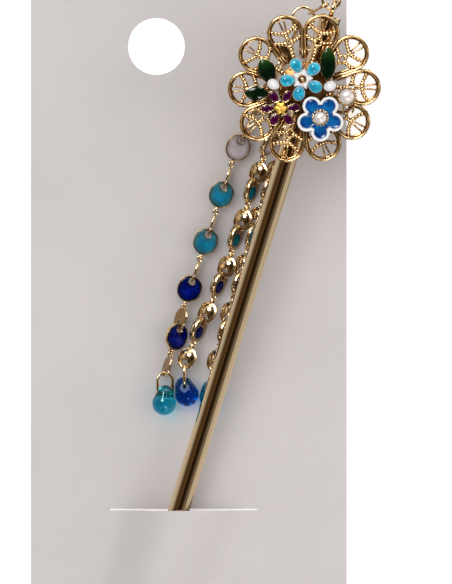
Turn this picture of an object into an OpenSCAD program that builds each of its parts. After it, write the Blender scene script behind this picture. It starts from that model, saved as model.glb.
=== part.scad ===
// A kanzashi hairpin threaded through its plain display card, lying on a table.
// The back of the card is at z = 0, +Y points to the card's top edge and +Z faces the viewer.

/* [Card] */
// Width of the display card
card_w = 52.6; // [48:0.2:70]
// Height of the display card
card_h = 135; // [130:1:160]
// Thickness of the card
card_t = 0.4; // [0.3:0.05:0.8]
// Diameter of the hanging hole
hang_d = 9.5; // [5:0.1:12]
// Distance from the card's top edge down to the middle of the hanging hole
hang_drop = 11.9; // [8:0.1:16]
// Sideways place of the hanging hole, from the middle of the card
hang_x = -5.4; // [-8:0.1:8]
// Width of the slit that the stick goes through
slit_w = 24.7; // [20:0.1:26]
// Sideways place of the slit, from the middle of the card
slit_x = -0.8; // [-2:0.1:2]
// Height of the slit above the card's lower edge
slit_y = 46.1; // [44:0.1:52]
// Length of card below the stick's tip in which the raised flap comes down flat
flap_fade = 11; // [8:0.5:13]
// Half the width of the raised flap where it has come down flat
flap_foot = 8; // [6:0.5:9]

/* [Stick] */
// Diameter of the round stick
stick_d = 3.5; // [2.6:0.1:4.2]
// Length of the stick, from its rounded tip to its upper end
stick_l = 117; // [114:0.5:122]
// Length of stick that is hidden under the card's flap
stick_tuck = 31; // [26:0.5:33]
// Lean of the stick to the right as it rises, seen from the front
stick_lean = 17.1; // [14:0.1:18]
// Angle at which the stick rises from the table towards its flower
stick_rise = 5.3; // [5.2:0.1:6]
// Sideways place where the stick goes through the slit, from the middle of the card
stick_x = -1.6; // [-3:0.1:2]
// Free space between the stick and the inside of the flap
flap_gap = 0.1; // [0.05:0.05:0.5]
// Inner diameter of the eye at the stick's upper end
eye_hole_d = 1.6; // [1.5:0.1:2.2]
// Thickness of the eye's wire
eye_wire = 0.8; // [0.5:0.1:1]
// Diameter of the solder pad that carries the flower
pad_d = 8; // [6:0.5:8.4]
// Height of the solder pad above the stick
pad_t = 0.4; // [0.2:0.1:1]

/* [Filigree] */
// Diameter of the pierced flower over its petal tips
flower_d = 25.4; // [22:0.2:30]
// Distance from the stick's upper end to the middle of the flower
flower_end = 12.6; // [11:0.2:19]
// Sideways place of the flower's middle from the stick's axis
flower_off = -0.7; // [-2:0.1:1]
// Radius of the round outer end of a petal
petal_r = 3.05; // [2.9:0.05:3.3]
// Width of the raised wire round each petal
rim_w = 0.5; // [0.3:0.05:0.8]
// Height of the raised wire round each petal
rim_h = 1.2; // [0.8:0.1:2]
// Width of the lower step inside the raised wire
step_w = 0.3; // [0.2:0.05:0.5]
// Thickness of the pierced lattice
lattice_t = 0.6; // [0.4:0.05:0.8]
// Width of the lattice's bars
bar_w = 0.4; // [0.3:0.02:0.5]
// Diameter of the beads on the lattice
bead_d = 0.6; // [0.5:0.02:0.8]
// Height of the beads above the lattice
bead_rise = 0.2; // [0.1:0.05:0.4]
// Diameter of the plain middle of the flower
middle_d = 8.6; // [8:0.2:10]

/* [Enamel flowers] */
// Radius of the turquoise flower over its petal tips
turquoise_r = 3.65; // [3.2:0.05:3.7]
// Width of one turquoise petal
turquoise_petal_w = 2.15; // [1.6:0.05:2.2]
// Radius of the purple flower over its petal tips
purple_r = 3.25; // [2.8:0.05:3.3]
// Width of one purple petal over its gold rim
purple_petal_w = 1.45; // [1.2:0.05:1.5]
// Radius of the blue flower over its lobes
blue_r = 3.95; // [3.4:0.05:4]
// Radius of one lobe of the blue flower
blue_lobe_r = 1.55; // [1.4:0.05:1.6]
// Height of the white wall round the blue flower
blue_h = 2.2; // [1.4:0.1:3]
// Thickness of the white wall round the blue flower
blue_wall = 0.38; // [0.25:0.01:0.5]
// Thickness of each enamel flower's base
base_t = 0.5; // [0.3:0.05:0.8]

/* [Leaves and buds] */
// Thickness of a leaf at its middle
leaf_t = 0.8; // [0.6:0.05:1]
// Diameter of a white bud
bud_d = 1.96; // [1.6:0.02:2]
// Height of a white bud
bud_t = 1.2; // [0.8:0.1:1.6]

/* [Pearls] */
// Diameter of the pearl in the blue flower
small_pearl_d = 2.1; // [1.6:0.05:2.3]
// Diameter of the pearl beside the flowers
side_pearl_d = 2.55; // [2:0.05:2.7]
// Thickness of the gold cups' walls
cup_wall = 0.15; // [0.1:0.01:0.25]
// Outer diameter of the little open ring beside the side pearl
loop_d = 2.1; // [1.6:0.05:2.3]

/* [Chain] */
// Length of an enamelled link's disc
enamel_l = 4.5; // [4:0.05:4.8]
// Width of an enamelled link's disc
enamel_w = 4.05; // [3.4:0.05:4.1]
// Length of a plain link's disc
plain_l = 3.76; // [3.4:0.02:4]
// Width of a plain link's disc
plain_w = 3.2; // [2.6:0.05:3.4]
// Thickness of the links' sheet
link_t = 0.34; // [0.28:0.02:0.36]
// Height of a plain link's dome above its sheet
dome_h = 0.4; // [0.2:0.05:0.6]
// Height of the gold wall round the enamel above its link's sheet
cup_h = 0.4; // [0.2:0.05:0.5]
// Diameter of the round eye through a link
link_eye_d = 1.16; // [1.14:0.02:1.2]
// Width of the metal round a link's eye
link_eye_rim = 0.38; // [0.3:0.02:0.4]
// Inner diameter of the small cross loop on a link's other end
tab_hole_d = 0.6; // [0.58:0.01:0.64]
// Wire of the small cross loop
tab_wire = 0.26; // [0.2:0.01:0.28]
// Thickness of the gold wall round the enamel
enamel_edge = 0.26; // [0.2:0.02:0.4]

/* [Rings and drops] */
// Wire of the jump rings
ring_wire = 0.5; // [0.4:0.02:0.6]
// Outer diameter of the round ring in the stick's eye
top_ring_d = 3.4; // [3:0.1:3.6]
// Outer diameter of the ring that the three strands hang from
strand_ring_d = 4.2; // [4:0.1:4.4]
// Outer length of the oval ring that holds a drop
drop_ring_l = 4.3; // [4:0.1:4.6]
// Outer width of the oval ring that holds a drop
drop_ring_w = 3; // [2.8:0.1:3.1]
// Width of a glass drop
drop_w = 4; // [3.6:0.1:4]
// Length of a glass drop
drop_l = 5; // [4.8:0.1:5.4]
// Width of a glass drop's rounded top
drop_top_w = 3; // [2.4:0.1:3.2]
// Diameter of the hole through a drop
drop_hole_d = 1.5; // [1.2:0.1:1.6]

/* [Hidden] */

$fn = 64;
gold = "#d8ac5c";
gap = 0.05;            // between pieces that sit on each other
clear = 0.1;           // between links that hang in each other
over = 0.3;            // how far joined metal runs into its neighbour
stick_r = stick_d / 2;
half_w = card_w / 2;
top_y = card_h / 2;
cut_y = slit_y - card_h / 2;
cut_gap = 0.3;

// Where the stick's tip lies on the table, and how it climbs from there
tuck_flat = stick_tuck * cos(stick_rise);
tip = [stick_x - tuck_flat * sin(stick_lean), cut_y - tuck_flat * cos(stick_lean), stick_r];

// The flap: a sheet of stations across and rows down, lifted over the stick
flap_cells = 20;
flap_rows = 18;
flap_top = cut_y - cut_gap;
flap_len = flap_top - tip[1] + flap_fade;
slit_left = slit_x - slit_w / 2;
slit_right = slit_x + slit_w / 2;
function stick_axis_x(y) = stick_x + (y - cut_y) * tan(stick_lean);
function stick_top(y) =
    tip[2] + (y - tip[1]) / cos(stick_lean) * tan(stick_rise) + stick_r / cos(stick_rise);
function ease(t) = t <= 0 ? 0 : t >= 1 ? 1 : t * t * (3 - 2 * t);
function ridge(y) =
    (stick_top(max(y, tip[1])) + flap_gap) * (1 - ease((tip[1] - y) / flap_fade));
function hump(t) = abs(t) >= 1 ? 0 : (1 + cos(180 * t)) / 2;
function flap_side(edge, y) =
    let (down = (flap_top - y) / flap_len, wide = abs(edge - stick_x))
    wide + (flap_foot - wide) * down;
function flap_point(i, y, lift) =
    let (t = 2 * (i - 1) / flap_cells - 1,
         side = t < 0 ? flap_side(slit_left, y) : flap_side(slit_right, y))
    i == 0 ? [-half_w, y, lift]
    : i == flap_cells + 2 ? [half_w, y, lift]
    : [stick_axis_x(y) + t * side, y, ridge(y) * hump(t) + lift];

module flap_sheet() {
    across = flap_cells + 3;
    down = flap_rows + 2;
    rows = [for (j = [0 : flap_rows]) flap_top - flap_len * j / flap_rows, -top_y];
    points = [for (lift = [0, card_t]) for (y = rows) for (i = [0 : across - 1])
        flap_point(i, y, lift)];
    n = across * down;
    function at(i, j, k) = k * n + j * across + i;
    skin = [for (j = [0 : down - 2]) for (i = [0 : across - 2]) for (f = [
        [at(i, j, 1), at(i + 1, j, 1), at(i + 1, j + 1, 1)],
        [at(i, j, 1), at(i + 1, j + 1, 1), at(i, j + 1, 1)],
        [at(i, j, 0), at(i + 1, j + 1, 0), at(i + 1, j, 0)],
        [at(i, j, 0), at(i, j + 1, 0), at(i + 1, j + 1, 0)]]) f];
    last = down - 1;
    ends = [for (i = [0 : across - 2]) for (f = [
        [at(i + 1, 0, 1), at(i, 0, 1), at(i, 0, 0)],
        [at(i + 1, 0, 1), at(i, 0, 0), at(i + 1, 0, 0)],
        [at(i, last, 1), at(i + 1, last, 1), at(i + 1, last, 0)],
        [at(i, last, 1), at(i + 1, last, 0), at(i, last, 0)]]) f];
    edge = across - 1;
    sides = [for (j = [0 : down - 2]) for (f = [
        [at(0, j, 1), at(0, j + 1, 1), at(0, j + 1, 0)],
        [at(0, j, 1), at(0, j + 1, 0), at(0, j, 0)],
        [at(edge, j + 1, 1), at(edge, j, 1), at(edge, j, 0)],
        [at(edge, j + 1, 1), at(edge, j, 0), at(edge, j + 1, 0)]]) f];
    polyhedron(points, concat(skin, ends, sides), convexity = 4);
}

// Card: a flat upper part with the hanging hole, and the lower part lifted over the stick
module display_card() color("#cfc4ba") {
    difference() {
        linear_extrude(card_t) difference() {
            translate([-half_w, cut_y - 1]) square([card_w, top_y - cut_y + 1]);
            translate([slit_left, cut_y - 2]) square([slit_w, 2]);
        }
        translate([hang_x, top_y - hang_drop, -1]) cylinder(d = hang_d, h = card_t + 2);
    }
    flap_sheet();
}

// Frames that pieces are placed in
module on_stick() {
    translate(tip) rotate([0, 0, -stick_lean]) rotate([stick_rise, 0, 0]) children();
}
flower_along = stick_l - flower_end;
module on_flower() {
    on_stick() translate([flower_off, flower_along, stick_r + pad_t + gap])
        rotate([0, 0, stick_lean]) children();
}

// A ring of round wire in the XY plane
module wire_ring(across, wire) {
    rotate_extrude() translate([across / 2 - wire / 2, 0]) circle(d = wire, $fn = 24);
}

// Stick: one turned rod with a rounded tip, its eye and the flower's solder pad
module hair_stick() color(gold) on_stick() {
    rotate([-90, 0, 0]) rotate_extrude() intersection() {
        union() {
            translate([0, stick_r]) circle(stick_r);
            polygon([[0, stick_r], [stick_r, stick_r], [stick_r, stick_l - over],
                     [stick_r - over, stick_l], [0, stick_l]]);
        }
        square([stick_r, stick_l]);
    }
    translate([0, eye_along, 0]) rotate([0, 90, 0]) wire_ring(eye_hole_d + 2 * eye_wire, eye_wire);
    translate([flower_off, flower_along, stick_r - pad_root])
        cylinder(d = pad_d, h = pad_t + pad_root);
}
pad_root = 0.6;
eye_along = stick_l + eye_hole_d / 2 + eye_wire - over;

// Filigree flower
petals = 10;
petal_x = flower_d / 2 - petal_r;
function petal_slope(apex, r) = asin(r / (petal_x - apex));
module petal_shape(inset) {
    r = petal_r - inset;
    apex = inset / sin(petal_slope(0, petal_r));
    a = petal_slope(apex, r);
    translate([petal_x, 0]) circle(r);
    polygon([[apex, 0], [petal_x - r * sin(a), -r * cos(a)],
             [petal_x + r / 2, 0], [petal_x - r * sin(a), r * cos(a)]]);
}
module petal_ring(inset, width) {
    difference() {
        petal_shape(inset);
        petal_shape(inset + width);
    }
}
// A bar bends as it goes: its first coordinate lags behind by the power bend
function on_bar(bar, t) = let (from = bar[0], to = bar[1])
    [from[0] + (to[0] - from[0]) * pow(t, bar[2]), from[1] + (to[1] - from[1]) * t];
module bar(bar) {
    steps = 4;
    way = bar[1] - bar[0];
    side = unit([-way[1], way[0]]) * bar_w / 2;
    polygon(concat([for (k = [0 : steps]) on_bar(bar, k / steps) + side],
                   [for (k = [steps : -1 : 0]) on_bar(bar, k / steps) - side]));
}
// Places along a petal, as shares of the flower's radius
knot_x = 0.75;         // where the arms leave the double strut
hoop_x = 0.622;        // middle of the small hoop
hoop_r = 0.75;
knot = knot_x * flower_d / 2;
hoop = hoop_x * flower_d / 2;
function arm(s) = [[knot, 0], [knot + 1.15, s * (petal_r - rim_w)], 1.7];
function low_arm(s) = [[hoop, s * (hoop_r - bar_w / 2)], [hoop + 0.45, s * 2.1], 1.5];
module petal_lattice() {
    end = flower_d / 2 - rim_w;
    for (s = [-1, 1]) {
        polygon([[knot, s * 0.05], [knot, s * 0.3], [end, s * 0.62], [end, s * 0.3]]);
        bar(arm(s));
        bar(low_arm(s));
    }
    bar([[middle_d / 2 - over, 0], [hoop - hoop_r + bar_w / 2, 0], 1]);
    bar([[hoop + hoop_r - bar_w / 2, 0], [knot, 0], 1]);
    difference() {
        translate([hoop, 0]) circle(hoop_r, $fn = 12);
        translate([hoop, 0]) circle(hoop_r - bar_w, $fn = 12);
    }
}
bead_places = concat([[knot, 0], [hoop - hoop_r, 0]], [for (s = [-1, 1]) for (spot = [
    on_bar(arm(s), 0.4), on_bar(arm(s), 0.75), on_bar(low_arm(s), 0.45), on_bar(low_arm(s), 0.9)
]) spot]);
module bead() rotate_extrude($fn = 10)
    polygon([[0, 0], [bead_d / 2, 0], [bead_d / 2, lattice_t], [0, lattice_t + bead_rise]]);
module filigree_flower() color(gold) on_flower() rotate([0, 0, 90 - stick_lean]) {
    for (k = [0 : petals - 1]) rotate([0, 0, k * 360 / petals]) {
        linear_extrude(rim_h) difference() {
            petal_ring(0, rim_w);
            circle(d = middle_d - over);
        }
        linear_extrude(lattice_t) union() {
            petal_ring(rim_w - 0.1, step_w + 0.1);
            petal_lattice();
        }
        for (spot = bead_places) translate(spot) bead();
    }
    cylinder(d = middle_d, h = lattice_t);
}

// Enamel flowers. Their places are seen from the front, from the middle of the filigree
turquoise_at = [-0.28, 1.65];
purple_at = [-3.83, -3.23];
blue_at = [2.73, -4.73];
seat_z = rim_h + gap;
turquoise_z = seat_z + leaf_t + gap;
turquoise_turn = 41.5;
purple_turn = 2;
blue_turn = -90;
module oval(w, l) {
    for (s = [-1, 1]) translate([s * (l - w) / 2, 0]) circle(d = w);
    if (l > w) square([l - w, w], center = true);
}
module vesica(w, l) {
    r = (l * l + w * w) / (4 * w);
    intersection() {
        translate([0, r - w / 2]) circle(r);
        translate([0, w / 2 - r]) circle(r);
    }
}
// A flat shape under a round crown: edge_h high at the distance half, mid_h high in the middle
module crowned(half, edge_h, mid_h) {
    r = (half * half + pow(mid_h - edge_h, 2)) / (2 * (mid_h - edge_h));
    intersection() {
        linear_extrude(mid_h) children();
        translate([0, 0, mid_h - r]) sphere(r);
    }
}
turquoise_petal_l = turquoise_petal_w * 1.12;
module turquoise_flower() color("white") on_flower()
    translate([turquoise_at[0], turquoise_at[1], turquoise_z]) difference() {
        union() {
            translate([0, 0, lattice_t + gap - turquoise_z])
                cylinder(d = 3, h = turquoise_z - lattice_t);
            linear_extrude(base_t) for (k = [0 : 4]) rotate([0, 0, turquoise_turn + 72 * k])
                translate([turquoise_r - turquoise_petal_l / 2, 0]) {
                    oval(turquoise_petal_w, turquoise_petal_l);
                    translate([-1.3, 0]) square([1.6, 1.1], center = true);
                }
            cylinder(d = 2.9, h = base_t + 0.35);
        }
        translate([0, 0, base_t]) cylinder(d = 1.4, h = 1);
    }
module turquoise_petals() color("#38b8d8") on_flower()
    translate([turquoise_at[0], turquoise_at[1], turquoise_z + base_t + gap])
        for (k = [0 : 4]) rotate([0, 0, turquoise_turn + 72 * k])
            translate([turquoise_r - turquoise_petal_l / 2, 0])
                crowned(turquoise_petal_l / 2, 0.25, 0.6)
                    difference() {
                        oval(turquoise_petal_w - 0.3, turquoise_petal_l - 0.3);
                        translate([turquoise_petal_l / 2 - turquoise_r, 0]) circle(d = 3.1);
                    }
module turquoise_bead() color(gold) on_flower()
    translate([turquoise_at[0], turquoise_at[1], turquoise_z + base_t + gap + 0.35])
        sphere(0.35);

purple_petal_l = purple_r * 0.66;
module purple_petal_places() {
    for (k = [0 : 5]) rotate([0, 0, purple_turn + 60 * k])
        translate([purple_r - purple_petal_l / 2, 0]) children();
}
module star(points, outer, inner) {
    polygon([for (k = [0 : 2 * points - 1])
        let (r = k % 2 == 0 ? outer : inner, a = 180 * k / points) [r * cos(a), r * sin(a)]]);
}
module purple_flower() color("#c98f57") on_flower()
    translate([purple_at[0], purple_at[1], seat_z]) {
        difference() {
            linear_extrude(base_t + 0.35) union() {
                purple_petal_places() vesica(purple_petal_w, purple_petal_l);
                circle(1.35);
            }
            translate([0, 0, base_t]) linear_extrude(1) purple_petal_places()
                vesica(purple_petal_w - 0.32, purple_petal_l - 0.5);
        }
        rotate([0, 0, purple_turn]) linear_extrude(base_t + 0.8) star(6, 1.1, 0.65);
    }
module purple_petals() color("#54103a") on_flower()
    translate([purple_at[0], purple_at[1], seat_z + base_t + gap]) purple_petal_places()
        crowned(purple_petal_l / 2, 0.15, 0.4)
            vesica(purple_petal_w - 0.42, purple_petal_l - 0.65);

module blue_shape(inset) {
    for (k = [0 : 4]) rotate([0, 0, blue_turn + 72 * k])
        translate([blue_r - blue_lobe_r, 0]) circle(blue_lobe_r - inset);
    circle(blue_r * 0.66 - inset);
}
module on_blue(z) {
    on_flower() translate([blue_at[0], blue_at[1], seat_z + z]) children();
}
bowl_t = 0.5;
module blue_flower() color("white") on_blue(0) difference() {
    linear_extrude(blue_h) blue_shape(0);
    translate([0, 0, base_t]) linear_extrude(blue_h) blue_shape(blue_wall);
}
module blue_bowl() color("#1c6cc4") on_blue(base_t + gap)
    linear_extrude(bowl_t) blue_shape(blue_wall + gap);

// A pearl sits in a gold cup that reaches a third of the way up it
module pearl_cup(pearl_d) {
    cylinder(d = pearl_d, h = cup_wall);
    difference() {
        cylinder(d = pearl_d + 2 * cup_wall, h = cup_floor + pearl_d * 0.3);
        translate([0, 0, cup_wall]) cylinder(d = pearl_d + 2 * gap, h = pearl_d);
    }
}
cup_floor = 0.2;
module pearl(pearl_d) {
    translate([0, 0, cup_floor + pearl_d / 2]) sphere(d = pearl_d);
}
cup_z = base_t + bowl_t + 2 * gap;
module blue_pearl_cup() color(gold) on_blue(cup_z) pearl_cup(small_pearl_d);
module blue_pearl() color("#efe6dc") on_blue(cup_z) pearl(small_pearl_d);

side_pearl_at = [7.07, -1.23];
loop_at = [7.3, -3.43];
loop_wire = 0.4;
module on_side_pearl() {
    on_flower() translate([side_pearl_at[0], side_pearl_at[1], seat_z]) children();
}
module side_pearl_cup() color(gold) on_side_pearl() {
    pearl_cup(side_pearl_d);
    translate([loop_at[0] - side_pearl_at[0], loop_at[1] - side_pearl_at[1], loop_wire / 2])
        wire_ring(loop_d, loop_wire);
}
module side_pearl() color("#efe6dc") on_side_pearl() pearl(side_pearl_d);

// Leaves and buds: place, direction, width and length of each
module leaf(at, turn, w, l) {
    color("#0c2c14") on_flower() translate([at[0], at[1], seat_z]) rotate([0, 0, turn])
        crowned(l / 2, 0.35, leaf_t) vesica(w, l);
}
module leaf_upper_left() leaf([-6.15, 2.9], 112, 2.9, 4.7);
module leaf_left() leaf([-7.85, -0.8], 178, 2.6, 4.2);
module leaf_upper_right() leaf([3.95, 4.1], 90, 2.7, 6);
module bud(at, turn) {
    color("white") on_flower() translate([at[0], at[1], seat_z + leaf_t + gap])
        rotate([0, 0, turn]) crowned(bud_d / 2 + 0.1, 0.4, bud_t) oval(bud_d - 0.2, bud_d);
}
module bud_left() bud([-5.05, 0.75], 150);
module bud_right() bud([4.28, 0.45], 20);

// A chain link lies in its own XY plane with its eye towards +Y and its cross loop towards -Y
function eye_y(l) = l / 2 - link_eye_rim - link_eye_d / 2;
link_play = 0.25;      // slack between two eyes that hang in each other
function eye_reach(l) = eye_y(l) + (link_eye_d - link_play) / 2;
tab_pitch = (tab_hole_d + tab_wire) / 2;
function tab_y(l) = l / 2 + tab_hole_d / 2;
function tab_reach(l) = tab_y(l) + tab_pitch / 2;
module link_sheet(w, l) {
    linear_extrude(link_t, center = true) rotate(90) oval(w, l);
    translate([0, -tab_y(l), 0]) rotate([0, 90, 0]) wire_ring(tab_hole_d + 2 * tab_wire, tab_wire);
}
module link_eye(l, d) {
    translate([0, eye_y(l), 0]) cylinder(d = d, h = 4, center = true, $fn = 32);
}
module plain_link() difference() {
    union() {
        link_sheet(plain_w, plain_l);
        translate([0, dome_y(plain_l), link_t / 2]) rotate_extrude() intersection() {
            r = (pow(dome_r, 2) + pow(dome_h, 2)) / (2 * dome_h);
            translate([0, dome_h - r]) circle(r);
            translate([0, -link_t / 2]) square([dome_r, dome_h + link_t / 2]);
        }
    }
    link_eye(plain_l, link_eye_d);
}
dome_r = plain_w / 2 - 0.3;
function dome_y(l) = -(l / 2 - 0.2 - dome_r);
// The enamel fills a window through its link and stands up in a dome over it
window_w = enamel_w * 0.55;
window_l = enamel_l * 0.55;
window_y = -enamel_l * 0.1;
module window(inset) {
    translate([0, window_y]) rotate(90) oval(window_w - 2 * inset, window_l - 2 * inset);
}
module disc(inset) {
    rotate(90) oval(enamel_w - 2 * inset, enamel_l - 2 * inset);
}
module enamel_link() difference() {
    union() {
        link_sheet(enamel_w, enamel_l);
        linear_extrude(link_t / 2 + cup_h) difference() {
            disc(0);
            disc(enamel_edge);
        }
    }
    link_eye(enamel_l, link_eye_d);
    translate([0, 0, link_t / 2]) keyhole(gap);
    linear_extrude(4, center = true) window(0);
}
// Round the eye and out over the edge, the front stays clear for the next link's rim
module keyhole(space) linear_extrude(2) translate([0, eye_y(enamel_l)]) {
    circle(d = link_eye_d + 2 * space, $fn = 32);
    translate([-link_t / 2 - clear - space, 0]) square([link_t + 2 * clear + 2 * space, 2]);
}
module enamel_fill() {
    difference() {
        translate([0, 0, link_t / 2 + gap]) crowned(enamel_l / 2, cup_h / 2, cup_h + 0.25)
            disc(enamel_edge + gap);
        keyhole(2 * gap);
    }
    translate([0, 0, -link_t / 2]) linear_extrude(link_t + 2 * gap) window(gap);
}

// Strands: the first links are plain, then enamelled and plain links take turns
plain_start = 6;
strand_links = 16;
function is_enamel(i) = i >= plain_start && i % 2 == 0;
function disc_l(i) = is_enamel(i) ? enamel_l : plain_l;
function link_l(i) = eye_reach(disc_l(i)) + tab_reach(disc_l(i));
function unit(v) = v / norm(v);

// Rings over the flower, from the stick's eye to the three strands
eye_flat = eye_along * cos(stick_rise);
eye_at = tip + [eye_flat * sin(stick_lean), eye_flat * cos(stick_lean),
                eye_along * sin(stick_rise)];
ring_play = ring_wire + clear;
strand_ring_r = (strand_ring_d - ring_wire) / 2;
top_ring_r = (top_ring_d - ring_wire) / 2;
top_ring_at = eye_at + [-0.3, top_ring_r - 0.1, 0];
strand_ring_at = top_ring_at + [-4.62, -2.95, -3.68];
function ring_point(middle, r, angle) = middle + r * [cos(angle), sin(angle), 0];
top_link_from = ring_point(top_ring_at, top_ring_r, 218);
top_link_to = ring_point(strand_ring_at, strand_ring_r, 35);
top_link_w = 2;

// Routes of the strands after their ring, chosen to lie as in the photo: across and along from
// the ring's middle, and the height over the card's back
function laid(p) = [strand_ring_at[0] + p[0], strand_ring_at[1] + p[1], p[2]];
left_route = [
    [-2.14, -4.28, 6.4], [-3.94, -8.48, 3.4], [-6.54, -12.88, 2.3], [-9.04, -16.88, 2.2],
    [-11.24, -22.18, 2.2], [-13.74, -29.58, 2.2], [-16.24, -37.28, 2.2], [-19.04, -45.08, 2.2],
    [-21.24, -52.88, 2.2], [-23.04, -59.08, 2.2]
];
middle_route = [
    [0.56, -4.58, 8.0], [2.36, -7.68, 7.6], [3.36, -11.08, 7.2], [2.16, -14.48, 6.4],
    [-1.54, -16.88, 5.2], [-5.64, -19.88, 3.0], [-7.94, -27.08, 2.62], [-10.64, -35.18, 2.62],
    [-13.49, -43.48, 2.62], [-16.64, -50.28, 2.62], [-19.24, -56.28, 2.62]
];
right_route = [
    [3.46, -3.88, 6.4], [4.56, -7.28, 3.8], [4.36, -11.18, 2.8], [2.36, -14.88, 2.6],
    [-0.94, -18.58, 2.6], [-3.54, -22.58, 2.6], [-5.94, -28.08, 2.6], [-8.44, -35.68, 2.6],
    [-10.74, -43.68, 2.6], [-13.14, -51.88, 2.6], [-14.94, -58.48, 2.6]
];
// Each strand: where it leaves its ring, its route, the side that its odd links turn to, and
// the turn of its first link, of each pair that hangs eye in eye, and of its last link
strands = [
    [232, left_route, 1, [90, 65, 35, 5, 0, 0, 0, 35, 20]],
    [268, middle_route, 1, [-90, -98, -107, -115, -115, -115, -115, -115, -115]],
    [314, right_route, -1, [90, 82, 74, 65, 65, 65, 65, 65, 65]]
];
function route(s) = concat([ring_point(strand_ring_at, strand_ring_r, strands[s][0])],
                           [for (p = strands[s][1]) laid(p)]);
// The point on the route that lies d from p, at or after leg i: [point, leg]
function step_on(way, i, p, d) =
    let (u = way[i + 1] - way[i], w = way[i] - p, a = u * u, b = u * w, c = w * w - d * d,
         q = b * b - a * c, t = q < 0 ? 2 : (-b + sqrt(q)) / a)
    t <= 1 || i + 2 >= len(way) ? [way[i] + u * t, i] : step_on(way, i + 1, p, d);
function walk(way, i, p, leg) =
    i == strand_links ? [p]
    : let (next = step_on(way, leg, p, link_l(i)))
      concat([p], walk(way, i + 1, next[0], next[1]));
hang_play = (link_eye_d - ring_wire) / 2 - clear;
first_back = (link_eye_d - link_play) / 2 - hang_play;
function joints(s) =
    let (way = route(s)) walk(way, 0, way[0] + first_back * unit(way[0] - way[1]), 0);
// Neighbouring links lie square to each other, and every other one points down the strand
function link_roll(s, i) =
    let (turn = strands[s][3][floor((i + 1) / 2)])
    i % 2 == 0 ? turn : -turn - 90 * strands[s][2];

// Puts a piece that points along +Y at a place, in a direction and with a turn about it
module along(at, direction, turn) {
    d = unit(direction);
    translate(at) rotate([0, 0, atan2(d[1], d[0]) - 90]) rotate([asin(d[2]), 0, 0])
        rotate([0, turn, 0]) children();
}
module link_place(s, i) {
    way = joints(s);
    up = unit(way[i] - way[i + 1]);
    l = disc_l(i);
    if (i % 2 == 0) along(way[i] - up * eye_reach(l), up, link_roll(s, i)) children();
    else along(way[i] - up * tab_reach(l), -up, link_roll(s, i)) children();
}
module chain(s) color(gold) for (i = [0 : strand_links - 1])
    link_place(s, i) if (is_enamel(i)) enamel_link(); else plain_link();
module strand_enamel(s, n, shade) color(shade)
    link_place(s, plain_start + 2 * (n - 1)) enamel_fill();

module left_chain() chain(0);
module middle_chain() chain(1);
module right_chain() chain(2);
shades = ["#e6e0da", "#1c93a4", "#1c93a4", "#0c1c9c", "#0c1c9c"];

// Rings
module oval_ring(l, w, wire) {
    r = (w - wire) / 2;
    half = (l - w) / 2;
    for (s = [0, 180]) rotate([0, 0, s]) {
        translate([0, half, 0]) rotate_extrude(angle = 180) translate([r, 0])
            circle(d = wire, $fn = 24);
        translate([r, -half, 0]) rotate([-90, 0, 0]) cylinder(d = wire, h = 2 * half, $fn = 24);
    }
}
module top_ring() color(gold) translate(top_ring_at) wire_ring(top_ring_d, ring_wire);
module strand_ring() color(gold) translate(strand_ring_at) wire_ring(strand_ring_d, ring_wire);
module top_link() color(gold) {
    span = top_link_from - top_link_to;
    along(top_link_to + span / 2, span, 90)
        oval_ring(norm(span) + 2 * ring_play + ring_wire, top_link_w, ring_wire);
}

// Drops: the turn of each ring, where its foot lies, and the way its drop points
drop_holes = [[-22.99, -63.68, 2.47], [-19.74, -61.18, 2.47], [-15.44, -62.38, 2.47]];
ring_turns = [8, 90, 80];
drop_ways = [[0.1, 1, 0], [-0.35, 1, 0], [-0.05, 1, 0]];
function ring_top(s) =
    let (way = joints(s), last = strand_links)
    way[last] - first_back * unit(way[last] - way[last - 1]);
function ring_foot(s) =
    let (from = ring_top(s)) from - unit(from - laid(drop_holes[s])) * (drop_ring_l - ring_wire);
module drop_ring_place(s) {
    from = ring_top(s);
    foot = ring_foot(s);
    along((from + foot) / 2, from - foot, ring_turns[s]) children();
}
module drop_ring(s) color(gold) drop_ring_place(s)
    oval_ring(drop_ring_l, drop_ring_w, ring_wire);
hole_drop = 1.75;      // from a drop's top to the middle of its hole
module pear() {
    r = drop_w / 2;
    top_r = drop_top_w / 2;
    bulb_y = hole_drop - drop_l + r;
    top = hole_drop - top_r;
    a = asin((r - top_r) / (top - bulb_y));
    rotate([-90, 0, 0]) rotate_extrude() intersection() {
        union() {
            translate([0, bulb_y]) circle(r);
            translate([0, top]) circle(top_r);
            polygon([[0, bulb_y], [r * cos(a), bulb_y + r * sin(a)],
                     [top_r * cos(a), top + top_r * sin(a)], [0, top]]);
        }
        translate([0, bulb_y - r]) square([r, drop_l]);
    }
}
// Each drop's hole takes its ring, whose sides lie in grooves up the drop's shoulders
module drop(s, shade) color(shade) difference() {
    along(ring_foot(s), drop_ways[s], ring_turns[s] + 90) difference() {
        pear();
        cylinder(d = drop_hole_d, h = 2 * drop_w, center = true);
    }
    drop_ring_place(s) oval_ring(drop_ring_l + 2 * clear, drop_ring_w + 2 * clear,
                                 ring_wire + 2 * clear);
}

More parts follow.
